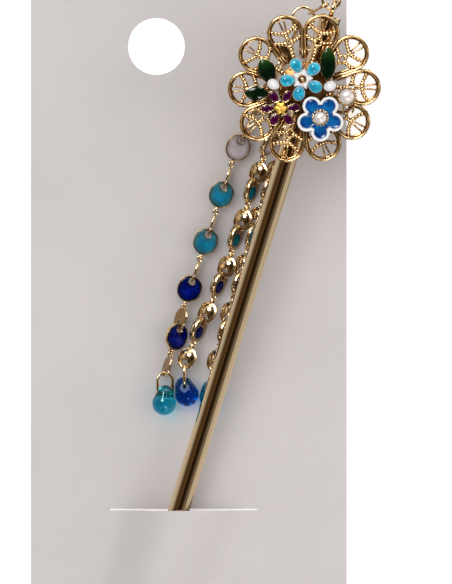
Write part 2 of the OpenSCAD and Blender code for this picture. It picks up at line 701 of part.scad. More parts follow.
display_card();
hair_stick();
filigree_flower();
turquoise_flower();
turquoise_petals();
turquoise_bead();
purple_flower();
purple_petals();
blue_flower();
blue_bowl();
blue_pearl_cup();
blue_pearl();
side_pearl_cup();
side_pearl();
leaf_upper_left();
leaf_left();
leaf_upper_right();
bud_left();
bud_right();
top_ring();
top_link();
strand_ring();
left_chain();
middle_chain();
right_chain();
for (n = [1 : 5]) {
    strand_enamel(0, n, shades[n - 1]);
    strand_enamel(1, n, shades[n - 1]);
    strand_enamel(2, n, shades[n - 1]);
}
drop_ring(0);  // left_drop_ring
drop_ring(1);  // middle_drop_ring
drop_ring(2);  // right_drop_ring
drop(0, "#3fb4c8");  // left_drop
drop(1, "#0f3fae");  // middle_drop
drop(2, "#1878a8");  // right_drop
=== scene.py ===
"""Looks of the hairpin on its display card. Everything is worked out in millimetres in the CAD's
frame: the back of the card is z = 0, +Y is the card's top and +Z faces the viewer."""
import random
from math import asin, atan2, copysign, cos, degrees, exp, hypot, pi, radians, sin, sqrt, tan

import bmesh
import bpy
from mathutils import Matrix, Vector, noise

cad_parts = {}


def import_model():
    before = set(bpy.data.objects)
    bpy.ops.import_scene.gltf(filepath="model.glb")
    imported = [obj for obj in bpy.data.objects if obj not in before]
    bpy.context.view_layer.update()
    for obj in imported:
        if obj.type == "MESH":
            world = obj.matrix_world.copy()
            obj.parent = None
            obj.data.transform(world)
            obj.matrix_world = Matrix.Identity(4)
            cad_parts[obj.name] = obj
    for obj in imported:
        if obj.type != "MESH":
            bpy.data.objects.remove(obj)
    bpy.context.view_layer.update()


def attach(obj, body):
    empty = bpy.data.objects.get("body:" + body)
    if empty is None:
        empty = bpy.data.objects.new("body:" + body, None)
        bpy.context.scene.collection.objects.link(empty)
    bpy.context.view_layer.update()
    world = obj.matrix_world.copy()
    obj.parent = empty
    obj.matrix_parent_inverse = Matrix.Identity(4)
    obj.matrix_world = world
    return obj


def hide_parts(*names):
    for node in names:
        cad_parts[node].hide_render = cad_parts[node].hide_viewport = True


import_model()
scene = bpy.context.scene
MM = 0.001
TAU = 2 * pi
HERE = Matrix.Identity(4)


# --- sizes shared with the CAD
card_w, card_h, card_t = 52.6, 135.0, 0.4
hang_at, hang_r = Vector((-5.4, 55.6)), 4.75
cut_y, cut_gap = -21.4, 0.3
slit_left, slit_right = -13.15, 11.55
flap_fade, flap_foot, flap_gap = 11.0, 8.0, 0.1
stick_r, stick_l, stick_tuck, stick_x = 1.75, 117.0, 31.0, -1.6
lean_deg, rise_deg = 17.1, 5.3
eye_hole_d, eye_wire, over = 1.6, 0.8, 0.3
pad_d, pad_t, gap, clear = 8.0, 0.4, 0.05, 0.1
flower_d, flower_along, flower_off, petal_r = 25.4, 104.4, -0.7, 3.05
rim_w, rim_h, step_w, lattice_t, middle_d = 0.5, 1.2, 0.3, 0.6, 8.6
leaf_t, base_t, bowl_t = 0.8, 0.5, 0.5
enamel_l, enamel_w, plain_l, plain_w = 4.5, 4.05, 3.76, 3.2
link_t, dome_h, cup_h, enamel_edge = 0.34, 0.4, 0.4, 0.26
link_eye_d, link_eye_rim, tab_hole_d, tab_wire, link_play = 1.16, 0.38, 0.6, 0.26, 0.25
ring_wire, top_ring_d, strand_ring_d, top_link_w = 0.5, 3.4, 4.2, 2.0
drop_ring_l, drop_ring_w, drop_w, drop_l, drop_top_w, drop_hole_d = 4.3, 3.0, 4.0, 5.0, 3.0, 1.5
hole_drop = 1.75


def rot(axis, turn):
    return Matrix.Rotation(radians(turn), 4, axis)


def move(*v):
    return Matrix.Translation(Vector(v))


stick_lean, stick_rise = radians(lean_deg), radians(rise_deg)
tuck_flat = stick_tuck * cos(stick_rise)
tip = Vector((stick_x - tuck_flat * sin(stick_lean), cut_y - tuck_flat * cos(stick_lean), stick_r))
on_stick = move(*tip) @ rot("Z", -lean_deg) @ rot("X", rise_deg)
on_flower = on_stick @ move(flower_off, flower_along, stick_r + pad_t + gap) @ rot("Z", lean_deg)
eye_along = stick_l + eye_hole_d / 2 + eye_wire - over


# --- mesh helpers
def angles(n):
    return [TAU * i / n for i in range(n)]


def circle(r, n, x=0.0, y=0.0, z=0.0):
    return [Vector((x + r * cos(a), y + r * sin(a), z)) for a in angles(n)]


def new_object(name, data):
    obj = bpy.data.objects.new(name, data)
    scene.collection.objects.link(obj)
    return obj


class Build:
    """Collects parts of one mesh, each with its own place, material numbers and rims. A rim is a value
    for each point: 1 at the edge of a form and 0 in its middle."""

    def __init__(self):
        self.points, self.faces, self.mats, self.rims = [], [], [], []

    def add(self, points, faces, at=HERE, mat=0, rims=None):
        """mat is one material number, or one for each face."""
        n = len(self.points)
        self.points += [at @ Vector(p) for p in points]
        self.faces += [tuple(n + i for i in f) for f in faces]
        self.mats += mat if isinstance(mat, list) else [mat] * len(faces)
        self.rims += rims or [0.0] * len(points)
        return self

    def pillow(self, at, mat, *form, **more):
        points, faces, rims = pillow(*form, **more)
        return self.add(points, faces, at, mat, rims)

    def loose(self, name, scale=MM):
        """A mesh object that isn't a piece yet."""
        mesh = bpy.data.meshes.new(name)
        mesh.from_pydata([tuple(scale * p) for p in self.points], [], self.faces)
        mesh.update()
        return new_object(name, mesh)

    def done(self, name, looks, slot, node):
        """Makes the piece that stands for a node of the CAD."""
        obj = self.loose(name)
        mesh = obj.data
        for look in looks:
            mesh.materials.append(look)
        mesh.polygons.foreach_set("material_index", self.mats)
        mesh.shade_smooth()
        mesh.attributes.new("rim", "FLOAT", "POINT").data.foreach_set("value", self.rims)
        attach(obj, "root")
        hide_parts(node)
        return obj


def fan(start, n, middle):
    """Faces from a ring of n points that starts at start to one point, middle."""
    return [(start + i, start + (i + 1) % n, middle) for i in range(n)]


def strips(rings, n, closed=False, start=False, end=False):
    """Faces between rings of n points each, where ring k starts at vertex k * n."""
    faces = []
    for k in range(rings if closed else rings - 1):
        a, b = k * n, (k + 1) % rings * n
        for i in range(n):
            j = (i + 1) % n
            faces.append((a + i, a + j, b + j, b + i))
    if start:
        faces.append(tuple(range(n))[::-1])
    if end:
        faces.append(tuple((rings - 1) * n + i for i in range(n)))
    return faces


def lathe(profile, n=64):
    """A closed solid turned about Y from (radius, y) points, from one end to the other."""
    points = [(r * cos(a), y, -r * sin(a)) for r, y in profile for a in angles(n)]
    return points, strips(len(profile), n, start=True, end=True)


def tube(path, wide, high=None, sides=16, closed=True, up=Vector((0, 0, 1)), power=1.0):
    """A wire along path points, wide across and high along up. power below 1 squares its section."""
    high = high or wide
    n = len(path)
    points = []
    for k, p in enumerate(path):
        a = path[(k - 1) % n] if closed or k else path[0]
        b = path[(k + 1) % n] if closed or k < n - 1 else path[-1]
        t = (b - a).normalized()
        side = t.cross(up).normalized()
        top = side.cross(t).normalized()
        for turn in angles(sides):
            c, s = cos(turn), sin(turn)
            c, s = copysign(abs(c) ** power, c), copysign(abs(s) ** power, s)
            points.append(p + side * c * wide / 2 + top * s * high / 2)
    return points, strips(n, sides, closed, not closed, not closed)


def ball(at, r, rows=8, cols=12, squash=1.0):
    x, y, z = at
    points = [(x, y, z - r * squash)]
    for j in range(1, rows):
        a = pi * j / rows
        points += [(x + r * sin(a) * cos(b), y + r * sin(a) * sin(b),
                    z - r * squash * cos(a)) for b in angles(cols)]
    points.append((x, y, z + r * squash))
    faces = [(0, 1 + (i + 1) % cols, 1 + i) for i in range(cols)]
    for j in range(rows - 2):
        a, b = 1 + j * cols, 1 + (j + 1) * cols
        faces += [(a + i, a + (i + 1) % cols, b + (i + 1) % cols, b + i) for i in range(cols)]
    return points, faces + fan(1 + (rows - 2) * cols, cols, len(points) - 1)


def pillow(outline, low, edge, crown, round_r=0.12, middle=(0, 0), power=2.0, bumps=None):
    """A solid over a flat outline: flat below at z low, a rounded edge up to z edge, and a crown in the
    middle. Its rings shrink towards middle. Gives points, faces and rims."""
    middle = Vector(middle)
    n = len(outline)
    reach = sum((Vector(p) - middle).length for p in outline) / n
    rows = [(0.0, low, 1.0), (0.0, edge - round_r, 1.0)]
    for a in map(radians, (22, 45, 68, 90)):
        rows.append((round_r * (1 - cos(a)), edge - round_r + round_r * sin(a), 1.0))
    for share in (0.12, 0.24, 0.38, 0.52, 0.68, 0.84):
        rows.append((round_r + (reach - round_r) * share, None, 1 - share))
    points, rims = [], []
    for inset, z, rim in rows:
        left = 1 - inset / reach
        for p in outline:
            q = middle + (Vector(p) - middle) * left
            h = edge + (crown - edge) * (1 - left ** power) if z is None else z
            if bumps and z is None:
                h += bumps(q, rim)
            points.append((q.x, q.y, h))
            rims.append(rim)
    points.append((middle.x, middle.y, crown + (bumps(middle, 0) if bumps else 0)))
    faces = strips(len(rows), n, start=True) + fan((len(rows) - 1) * n, n, len(points) - 1)
    return points, faces, rims + [0.0]


def polar(radius, n, turn=0.0):
    return [(radius(a) * cos(a + turn), radius(a) * sin(a + turn)) for a in angles(n)]


def stadium_radius(w, l, centre=(0.0, 0.0)):
    """Distance from centre to the edge of a stadium w wide and l long along Y, in a direction."""
    def radius(a):
        d = Vector((cos(a), sin(a)))
        near, far = 0.0, l
        for _ in range(30):
            mid = (near + far) / 2
            p = Vector(centre) + d * mid
            y = max(abs(p.y) - (l - w) / 2, 0)
            near, far = (mid, far) if hypot(p.x, y) < w / 2 else (near, mid)
        return near
    return radius


def carve(body, tool, voxel, rounds, even_first=False):
    """Cuts tool out of body, evens the rest by a remesh and softens it. Gives the mesh. tool is removed."""
    def remesh(obj):
        mod = obj.modifiers.new("even", "REMESH")
        mod.mode, mod.voxel_size = "VOXEL", voxel

    if even_first:
        remesh(body)
        remesh(tool)
    cut = body.modifiers.new("cut", "BOOLEAN")
    cut.object, cut.operation, cut.solver = tool, "DIFFERENCE", "EXACT"
    remesh(body)
    soft = body.modifiers.new("soft", "SMOOTH")
    soft.factor, soft.iterations = 0.5, rounds
    graph = bpy.context.evaluated_depsgraph_get()
    mesh = bpy.data.meshes.new_from_object(body.evaluated_get(graph))
    body.modifiers.clear()
    bpy.data.objects.remove(tool)
    return mesh


# --- material helpers
class Nodes:
    """Builds the nodes of a material or a world. Values go straight to sockets and sockets are linked."""

    def __init__(self, owner):
        self.owner = owner
        owner.use_nodes = True
        self.tree = owner.node_tree
        self.tree.nodes.clear()

    def node(self, kind, ins=None, **props):
        node = self.tree.nodes.new("ShaderNode" + kind)
        for k, v in props.items():
            setattr(node, k, v)
        for k, v in (ins or {}).items():
            if isinstance(v, bpy.types.NodeSocket):
                self.tree.links.new(v, node.inputs[k])
            else:
                node.inputs[k].default_value = v
        return node

    def add(self, kind, ins=None, out=0, **props):
        return self.node(kind, ins, **props).outputs[out]

    def coords(self):
        return self.add("TexCoord", out="Object")

    def rim(self):
        return self.add("Attribute", out="Fac", attribute_name="rim")

    def noise(self, scale, detail=3.0, rough=0.5, vector=None):
        ins = {"Vector": vector or self.coords(), "Scale": scale, "Detail": detail, "Roughness": rough}
        return self.add("TexNoise", ins)

    def ramp(self, fac, stops):
        node = self.node("ValToRGB", {"Fac": fac})
        elements = node.color_ramp.elements
        while len(elements) < len(stops):
            elements.new(0.5)
        for e, (pos, colour) in zip(elements, stops):
            e.position, e.color = pos, (*colour, 1)
        return node.outputs["Color"]

    def spread(self, fac, lo, hi, from_lo=0.0, from_hi=1.0):
        ins = {"Value": fac, "From Min": from_lo, "From Max": from_hi, "To Min": lo, "To Max": hi}
        return self.add("MapRange", ins)

    def mix(self, fac, a, b, blend="MIX"):
        a, b = (c if isinstance(c, bpy.types.NodeSocket) else (*c, 1) for c in (a, b))
        return self.add("Mix", {0: fac, 6: a, 7: b}, 2, data_type="RGBA", blend_type=blend)

    def math(self, op, a, b=0.0):
        return self.add("Math", {0: a, 1: b}, operation=op)

    def bump(self, height, strength, distance):
        return self.add("Bump", {"Height": height, "Strength": strength, "Distance": distance})

    def principled(self, **ins):
        return self.add("BsdfPrincipled", {k.replace("_", " "): v for k, v in ins.items()})

    def surface(self, shader, output="OutputMaterial"):
        self.node(output, {"Surface": shader})
        return self.owner


def material(name):
    return Nodes(bpy.data.materials.new(name))


def gold_look(name, light, deep, rough=(0.08, 0.18), reach=0.0009, marks_depth=0.02):
    """Gold plate: its colour is painted darker in the recesses as painted shade, with a faint cloud and fine
    rubbing marks.
    """
    n = material(name)
    # Ambient occlusion paints shade into the colour: it goes towards deep where the gold is hemmed in.
    recess_shade = n.add("AmbientOcclusion", {"Distance": reach}, "AO", samples=6, only_local=False)
    cloud = n.noise(260.0, 4.0, 0.6)
    fac = n.spread(n.math("MULTIPLY", recess_shade, n.spread(cloud, 0.82, 1.12)), 0.0, 1.0, 0.32, 0.97)
    half_way = tuple((a + b) / 2 for a, b in zip(light, deep))
    colour = n.ramp(fac, [(0.0, deep), (0.45, half_way), (1.0, light)])
    marks = n.noise(2600.0, 3.0, 0.7)
    roughness = n.spread(n.math("MULTIPLY", cloud, marks), *rough, 0.12, 0.4)
    return n.surface(n.principled(Base_Color=colour, Metallic=1.0, Roughness=roughness,
                                  Normal=n.bump(marks, marks_depth, 0.00004)))


def enamel_look(name, middle, rim, rough=0.1, coat=0.6, spots=0.25, sub=0.0, rim_from=0.5,
                    mottle=(0.62, 0.66, 0.72), shine=0.35):
    """Fired enamel: its colour shifts towards the rim and clouds a little, under a hard clear gloss."""
    n = material(name)
    near = n.rim()
    cloud = n.noise(700.0, 4.0, 0.55)
    colour = n.mix(n.spread(near, 0.0, 1.0, rim_from, 1.0), middle, rim)
    darker = n.mix(1.0, colour, mottle, "MULTIPLY")
    colour = n.mix(n.spread(cloud, 0.0, spots * 2, 0.42, 0.7), colour, darker)
    normal = n.bump(n.noise(520.0, 2.0, 0.5), 0.16, 0.00012)
    return n.surface(n.principled(
        Base_Color=colour, Roughness=n.spread(cloud, rough * 0.7, rough * 1.6), Normal=normal,
        Specular_IOR_Level=shine, Coat_Weight=coat, Coat_Roughness=0.04, Subsurface_Weight=sub,
        Subsurface_Radius=(0.3, 0.3, 0.3), Subsurface_Scale=0.0006))


def leaf_look(name):
    """Near-black green enamel, painted lighter to moss green where the rim value is high, at a leaf's tip: a
    painted highlight.
    """
    n = material(name)
    tip_highlight = n.rim()
    cloud = n.noise(700.0, 3.0, 0.5)
    fac = n.math("MULTIPLY", tip_highlight, n.spread(cloud, 0.6, 1.3))
    # The lighter stops are the colours of the painted highlight.
    colour = n.ramp(fac, [(0.0, (0.0006, 0.007, 0.002)), (0.35, (0.004, 0.028, 0.004)),
        (0.7, (0.032, 0.075, 0.008)), (1.0, (0.13, 0.17, 0.03))])
    return n.surface(n.principled(
        Base_Color=colour, Roughness=n.spread(cloud, 0.08, 0.2), Coat_Weight=0.12, Specular_IOR_Level=0.3,
        Coat_Roughness=0.05, Normal=n.bump(n.noise(420.0), 0.15, 0.0001)))


def glass_look(name, colour, mirror):
    """Coloured pressed glass that lets tinted light through to what lies under it."""
    n = material(name)
    swirl = n.noise(520.0, 2.0, 0.5)
    deep = n.mix(n.spread(swirl, 0.0, 0.5, 0.4, 0.7), colour, tuple(c * 0.75 for c in colour))
    glass = n.principled(Base_Color=deep, Roughness=0.0, IOR=1.5, Transmission_Weight=1.0,
                         Specular_Tint=(*mirror, 1), Normal=n.bump(swirl, 0.02, 0.0001))
    shade = n.add("BsdfTransparent", {"Color": (*[0.42 + 0.5 * c for c in colour], 1)})
    is_shadow = n.add("LightPath", out="Is Shadow Ray")
    return n.surface(n.add("MixShader", {"Fac": is_shadow, 1: glass, 2: shade}))


def pearl_look(name):
    n = material(name)
    cloud = n.noise(600.0, 3.0, 0.5)
    colour = n.mix(n.spread(cloud, 0.0, 0.6, 0.42, 0.68), (0.78, 0.73, 0.70), (0.74, 0.64, 0.62))
    return n.surface(n.principled(
        Base_Color=colour, Metallic=0.4, Roughness=0.36, Coat_Weight=0.8, Coat_Roughness=0.2,
        Normal=n.bump(cloud, 0.002, 0.00008)))


def card_look(name):
    """White paper board with a satin coat: faint mottling and fibres."""
    n = material(name)
    where = n.coords()
    mottle = n.noise(45.0, 3.0, 0.6, where)
    grain = n.noise(2600.0, 4.0, 0.65, where)
    combed = n.add("Mapping", {"Vector": where, "Scale": (1.0, 3.2, 1.0)})
    fibre = n.add("TexNoise", {"Vector": combed, "Scale": 900.0, "Detail": 3.0, "Distortion": 0.6})
    colour = n.ramp(mottle, [(0.3, (0.505, 0.473, 0.474)), (0.7, (0.543, 0.509, 0.510))])
    colour = n.mix(n.spread(grain, 0.0, 0.45, 0.5, 0.8), colour, (0.62, 0.59, 0.59))
    height = n.math("ADD", n.math("MULTIPLY", grain, 0.6), fibre)
    return n.surface(n.principled(
        Base_Color=colour, Roughness=n.spread(grain, 0.46, 0.62), Specular_IOR_Level=0.4,
        Coat_Weight=0.08, Coat_Roughness=0.35, Normal=n.bump(height, 0.5, 0.00003)))


# Each gold: its colour in the open, then deep, the painted shade colour its recesses take.
gold = gold_look("gold_plate", (0.90, 0.71, 0.44), (0.45, 0.24, 0.08))
gold_polished = gold_look(
    "gold_polished", (0.88, 0.69, 0.44), (0.6, 0.4, 0.2), (0.01, 0.025), marks_depth=0.008)
gold_filigree = gold_look("gold_filigree", (0.87, 0.62, 0.32), (0.20, 0.07, 0.010), (0.17, 0.27), 0.0015)
gold_matte = gold_look("gold_matte", (0.92, 0.57, 0.12), (0.55, 0.28, 0.05), (0.4, 0.55))
# Satin gold whose colour is painted dark brown: painted dark reflection, on the links' backs and the cups'
# wall tops.
satin_gold_painted_reflection = gold_look("satin_gold_painted_reflection", (0.36, 0.23, 0.10), (0.18, 0.09, 0.03), (0.22, 0.34))
# Dark brown gold for the filigree's middle disc and the dimple round the turquoise bead: painted shade of a
# recess.
recess_shade_gold = gold_look("gold_painted_recess_shade", (0.30, 0.15, 0.05), (0.12, 0.05, 0.02), (0.3, 0.45))
white = enamel_look("white_enamel", (0.80, 0.80, 0.81), (0.70, 0.68, 0.69), rough=0.14, spots=0.08)
lilac_white = enamel_look(
    "milk_enamel", (0.40, 0.355, 0.37), (0.22, 0.17, 0.15), rough=0.16, coat=0.1, sub=0.3, shine=0.25)
turquoise = enamel_look(
    "turquoise_enamel", (0.018, 0.38, 0.56), (0.04, 0.50, 0.68), coat=0.3, spots=1.1,
    mottle=(0.45, 0.6, 0.66), shine=0.25)
teal = enamel_look(
    "teal_enamel", (0.002, 0.17, 0.29), (0.035, 0.12, 0.13), rough=0.14, coat=0.06, spots=0.9, rim_from=0.3,
    mottle=(0.5, 0.66, 0.7), shine=0.18)
navy = enamel_look(
    "navy_enamel", (0.001, 0.009, 0.19), (0.0006, 0.003, 0.035), rough=0.06, coat=0.06, spots=1.2,
    rim_from=0.3, mottle=(0.25, 0.3, 0.45), shine=0.18)
teal_back = enamel_look(
    "teal_enamel_back", (0.001, 0.13, 0.17), (0.001, 0.08, 0.11), coat=0.02, spots=0.9, shine=0.02)
navy_back = enamel_look(
    "navy_enamel_back", (0.001, 0.005, 0.13), (0.0006, 0.003, 0.05), coat=0.02, spots=0.9, shine=0.02)
purple = enamel_look(
    "purple_enamel", (0.032, 0.001, 0.022), (0.085, 0.002, 0.050), spots=0.4, coat=0.12, shine=0.2)
# Blue enamel whose darker rim colour, where the bowl meets the white wall, is painted shade of the wall.
blue_with_painted_shade = enamel_look(
    "blue_enamel", (0.006, 0.19, 0.54), (0.002, 0.085, 0.38), rough=0.08, coat=0.35, spots=0.9,
    rim_from=0.35, mottle=(0.4, 0.5, 0.62), shine=0.25)
leaf_green_painted_highlight = leaf_look("leaf_enamel_painted_highlight")
aqua_glass = glass_look("aqua_glass", (0.03, 0.45, 0.59), (0.65, 1.0, 1.0))
royal_glass = glass_look("royal_glass", (0.0005, 0.10, 0.40), (0.2, 0.4, 0.9))
teal_glass = glass_look("teal_glass", (0.02, 0.34, 0.52), (0.5, 0.9, 1.0))
pearl = pearl_look("pearl")
board = card_look("card_board")


# --- card
def ease(t):
    t = min(max(t, 0.0), 1.0)
    return t * t * (3 - 2 * t)


def stick_top(y):
    return tip.z + (y - tip.y) / cos(stick_lean) * tan(stick_rise) + stick_r / cos(stick_rise)


def card_piece():
    """One sheet: flat with its hole above the slit, and lifted over the stick below it."""
    cells, rows, low_rows, hole_sides = 72, 60, 6, 96
    edge_softness, edge_angle = 0.06, 0.9
    half, top, low = card_w / 2, card_h / 2, -card_h / 2
    flap_top = cut_y - cut_gap
    flap_len = flap_top - tip.y + flap_fade

    def flap_row(y):
        ridge = (stick_top(max(y, tip.y)) + flap_gap) * (1 - ease((tip.y - y) / flap_fade))
        middle = stick_x + (y - cut_y) * tan(stick_lean)
        down = (flap_top - y) / flap_len
        row = [Vector((-half, y, 0))]
        for i in range(cells + 1):
            t = 2 * i / cells - 1
            wide = abs((slit_left if t < 0 else slit_right) - stick_x)
            side = wide + (flap_foot - wide) * down
            row.append(Vector((middle + t * side, y, ridge * (0.5 + 0.5 * cos(pi * t)))))
        return row + [Vector((half, y, 0))]

    bm = bmesh.new()
    grid = [flap_row(flap_top - flap_len * j / rows) for j in range(rows + 1)]
    for k in range(1, low_rows + 1):
        y = flap_top - flap_len + (low - flap_top + flap_len) * k / low_rows
        grid.append([Vector((p.x, y, 0)) for p in grid[rows]])
    made = [[bm.verts.new(p) for p in row] for row in grid]
    for a, b in zip(made, made[1:]):
        for i in range(len(a) - 1):
            bm.faces.new((a[i], b[i], b[i + 1], a[i + 1]))
    first = made[0]
    around = [first[0], first[1], bm.verts.new((slit_left, cut_y, 0)), bm.verts.new((slit_right, cut_y, 0)),
              first[-2], first[-1], bm.verts.new((half, top, 0)), bm.verts.new((-half, top, 0))]
    hole = [bm.verts.new(p) for p in circle(hang_r, hole_sides, hang_at.x, hang_at.y)]
    edges = []
    for loop in (around, hole):
        for i, v in enumerate(loop):
            w = loop[(i + 1) % len(loop)]
            edges.append(bm.edges.get((v, w)) or bm.edges.new((v, w)))
    bmesh.ops.triangle_fill(bm, use_beauty=True, edges=edges, normal=(0, 0, 1))
    bmesh.ops.recalc_face_normals(bm, faces=bm.faces)
    if sum(f.normal.z for f in bm.faces) < 0:
        bmesh.ops.reverse_faces(bm, faces=bm.faces)
    points = [v.co.copy() for v in bm.verts]
    index = {v: i for i, v in enumerate(bm.verts)}
    n = len(points)
    faces = [tuple(n + index[v] for v in f.verts) for f in bm.faces]
    faces += [tuple(index[v] for v in reversed(f.verts)) for f in bm.faces]
    for e in bm.edges:
        if len(e.link_faces) == 1:
            loop = e.link_loops[0]
            a, b = index[loop.vert], index[loop.link_loop_next.vert]
            faces.append((n + b, n + a, a, b))
    bm.free()
    points += [p + Vector((0, 0, card_t)) for p in points]
    card = Build().add(points, faces).done("card_sheet", [board], "card", "display_card")
    bevel = card.modifiers.new("worn edge", "BEVEL")
    bevel.width, bevel.segments = edge_softness * MM, 2
    bevel.limit_method, bevel.angle_limit = "ANGLE", edge_angle
    bevel.harden_normals = True


card_piece()


# --- stick
def quarter(steps):
    return [pi / 2 * k / steps for k in range(steps + 1)]


def stick_piece():
    """One turned rod with a rounded tip and upper end, its eye and the flower's pad."""
    core, lengths, eye_steps, pad_sunk, pad_edge = 0.02, 12, 48, 0.6, 0.12
    profile = [(core, 0.0)] + [(stick_r * sin(a), stick_r * (1 - cos(a))) for a in quarter(14)[1:]]
    profile += [(stick_r, stick_l * k / lengths) for k in range(1, lengths)]
    profile += [(stick_r - over + over * cos(a), stick_l - over + over * sin(a)) for a in quarter(8)]
    profile += [(0.6, stick_l), (core, stick_l)]
    b = Build().add(*lathe(profile, 128), on_stick)
    r = (eye_hole_d + eye_wire) / 2
    path = [Vector((0, eye_along + r * cos(a), r * sin(a))) for a in angles(eye_steps)]
    b.add(*tube(path, eye_wire, sides=20, up=Vector((1, 0, 0))), on_stick)
    pad = [(0.1, -pad_sunk), (pad_d / 2, -pad_sunk), (pad_d / 2, pad_t - pad_edge),
           (pad_d / 2 - pad_edge, pad_t), (0.1, pad_t)]
    b.add(*lathe(pad), on_stick @ move(flower_off, flower_along, stick_r) @ rot("X", 90))
    b.done("stick_body", [gold_polished], "gold", "hair_stick")


stick_piece()


# --- filigree flower
petals = 10
petal_x = flower_d / 2 - petal_r
knot, hoop, hoop_r = 0.75 * flower_d / 2, 0.622 * flower_d / 2, 0.75


def petal_path(inset, steps=56):
    """The teardrop outline of a petal, inset from its outer edge, from its point round and back."""
    r = petal_r - inset
    point = Vector((inset / sin(asin(petal_r / petal_x)), 0, 0))
    a = asin(r / (petal_x - point.x))
    arc = [Vector((petal_x + r * cos(t), r * sin(t), 0))
           for t in (-pi / 2 - a + (pi + 2 * a) * k / steps for k in range(steps + 1))]
    shares = (0.25, 0.5, 0.75)
    return [point] + [point.lerp(arc[0], s) for s in shares] + arc + [arc[-1].lerp(point, s) for s in shares]


def cut_inside(path, radius):
    """The stretch of a closed path that lies outside a circle round the origin, as an open path."""
    inside = [p.length < radius for p in path]
    start = next(i for i in range(len(path)) if inside[i - 1] and not inside[i])
    out = []
    for k in range(len(path)):
        p = path[(start + k) % len(path)]
        if p.length < radius:
            break
        out.append(p)
    return out


def on_bar(bar, t):
    (x0, y0), (x1, y1), bend = bar
    return Vector((x0 + (x1 - x0) * t ** bend, y0 + (y1 - y0) * t, 0))


def filigree_piece():
    """Ten alike petals: a raised rim with a step inside it, beaded bars, a beaded hoop and two fine wires
    to the tip, round a plain disc with a ring of beads."""
    rng = random.Random(11)
    wire, bead_r, bead_z, bead_step, bead_shift, bead_change = 0.5, 0.385, 0.5, 0.56, 0.04, 0.03
    hoop_beads, middle_beads, middle_beads_r = 8, 20, 3.95
    b = Build()
    rim = cut_inside(petal_path(rim_w / 2), middle_d / 2 - 0.6)
    step = cut_inside(petal_path(rim_w + step_w / 2 - 0.05), middle_d / 2 - 0.5)
    bars = [[(middle_d / 2 - 0.4, 0), (hoop - hoop_r, 0), 1], [(hoop + hoop_r, 0), (knot, 0), 1]]
    for s in (-1, 1):
        bars += [[(knot, 0), (knot + 1.15, s * (petal_r - rim_w)), 1.7],
                 [(hoop, s * (hoop_r - 0.2)), (hoop + 0.45, s * 2.1), 1.5]]
    for k in range(petals):
        place = on_flower @ rot("Z", 90 - lean_deg + 360 / petals * k)
        b.add(*tube([p + Vector((0, 0, rim_h / 2)) for p in rim], rim_w, rim_h, 20, False, power=0.92), place)
        b.add(*tube([p + Vector((0, 0, 0.36)) for p in step], 0.36, 0.44, 10, False), place)
        for bar in bars:
            path = [on_bar(bar, t / 8) + Vector((0, 0, 0.3)) for t in range(9)]
            b.add(*tube(path, wire, wire, 8, False), place)
            count = max(2, round(sum((q - p).length for p, q in zip(path, path[1:])) / bead_step))
            for i in range(count + 1):
                shift = rng.uniform(-bead_shift, bead_shift), rng.uniform(-bead_shift, bead_shift), bead_z
                at = on_bar(bar, i / count) + Vector(shift)
                b.add(*ball(at, bead_r + rng.uniform(-bead_change, bead_change), squash=0.85), place)
        for s in (-1, 1):
            path = [Vector((knot + (flower_d / 2 - rim_w - knot) * t, s * (0.19 + 0.3 * t), 0.4))
                    for t in (0, 0.33, 0.66, 1)]
            b.add(*tube(path, 0.32, 0.6, 12, False), place)
        b.add(*tube(circle(0.58, 28, hoop, 0, 0.4), 0.38, 0.5, 10), place)
        b.add(*ball((knot, 0, 0.5), 0.44), place)
        for i in range(hoop_beads):
            a = TAU * (i + 0.5) / hoop_beads
            b.add(*ball((hoop + 0.62 * cos(a), 0.62 * sin(a), 0.48), 0.27), place)
    # The middle disc takes material 1: gold painted dark brown as painted shade under the flowers.
    disc = [(0.1, 0), (middle_d / 2, 0), (middle_d / 2, lattice_t - 0.1), (middle_d / 2 - 0.1, lattice_t),
            (0.1, lattice_t)]
    b.add(*lathe(disc), on_flower @ rot("X", 90), 1)
    for at in circle(middle_beads_r, middle_beads, z=lattice_t):
        b.add(*ball(at, 0.25, 7, 10), on_flower)
    b.done("filigree_body", [gold_filigree, recess_shade_gold], "gold", "filigree_flower")


filigree_piece()


# --- enamel flowers, leaves and buds
turquoise_at, purple_at, blue_at, side_pearl_at = (-0.28, 1.65), (-3.83, -3.23), (2.73, -4.73), (7.07, -1.23)
turquoise_turn, purple_turn, blue_turn = 41.5, 2, -90
blue_reach, blue_lobe, blue_wall = 3.95, 1.55, 0.38
seat_z = rim_h + gap
high_seat_z = seat_z + leaf_t + gap


def oval_outline(w, l, n=40, pinch=0.0):
    """An egg w across and l long along X, pinched towards -X."""
    return [(l / 2 * cos(a), w / 2 * sin(a) * (1 - pinch * (0.5 - cos(a) / 2))) for a in angles(n)]


def vesica_outline(w, l, n=60):
    r = (l * l + w * w) / (4 * w)
    xs = [(s, s * (l / 2 - l * i / (n // 2))) for s in (1, -1) for i in range(n // 2)]
    return [(x, s * (sqrt(max(r * r - x * x, 0)) - (r - w / 2))) for s, x in xs]


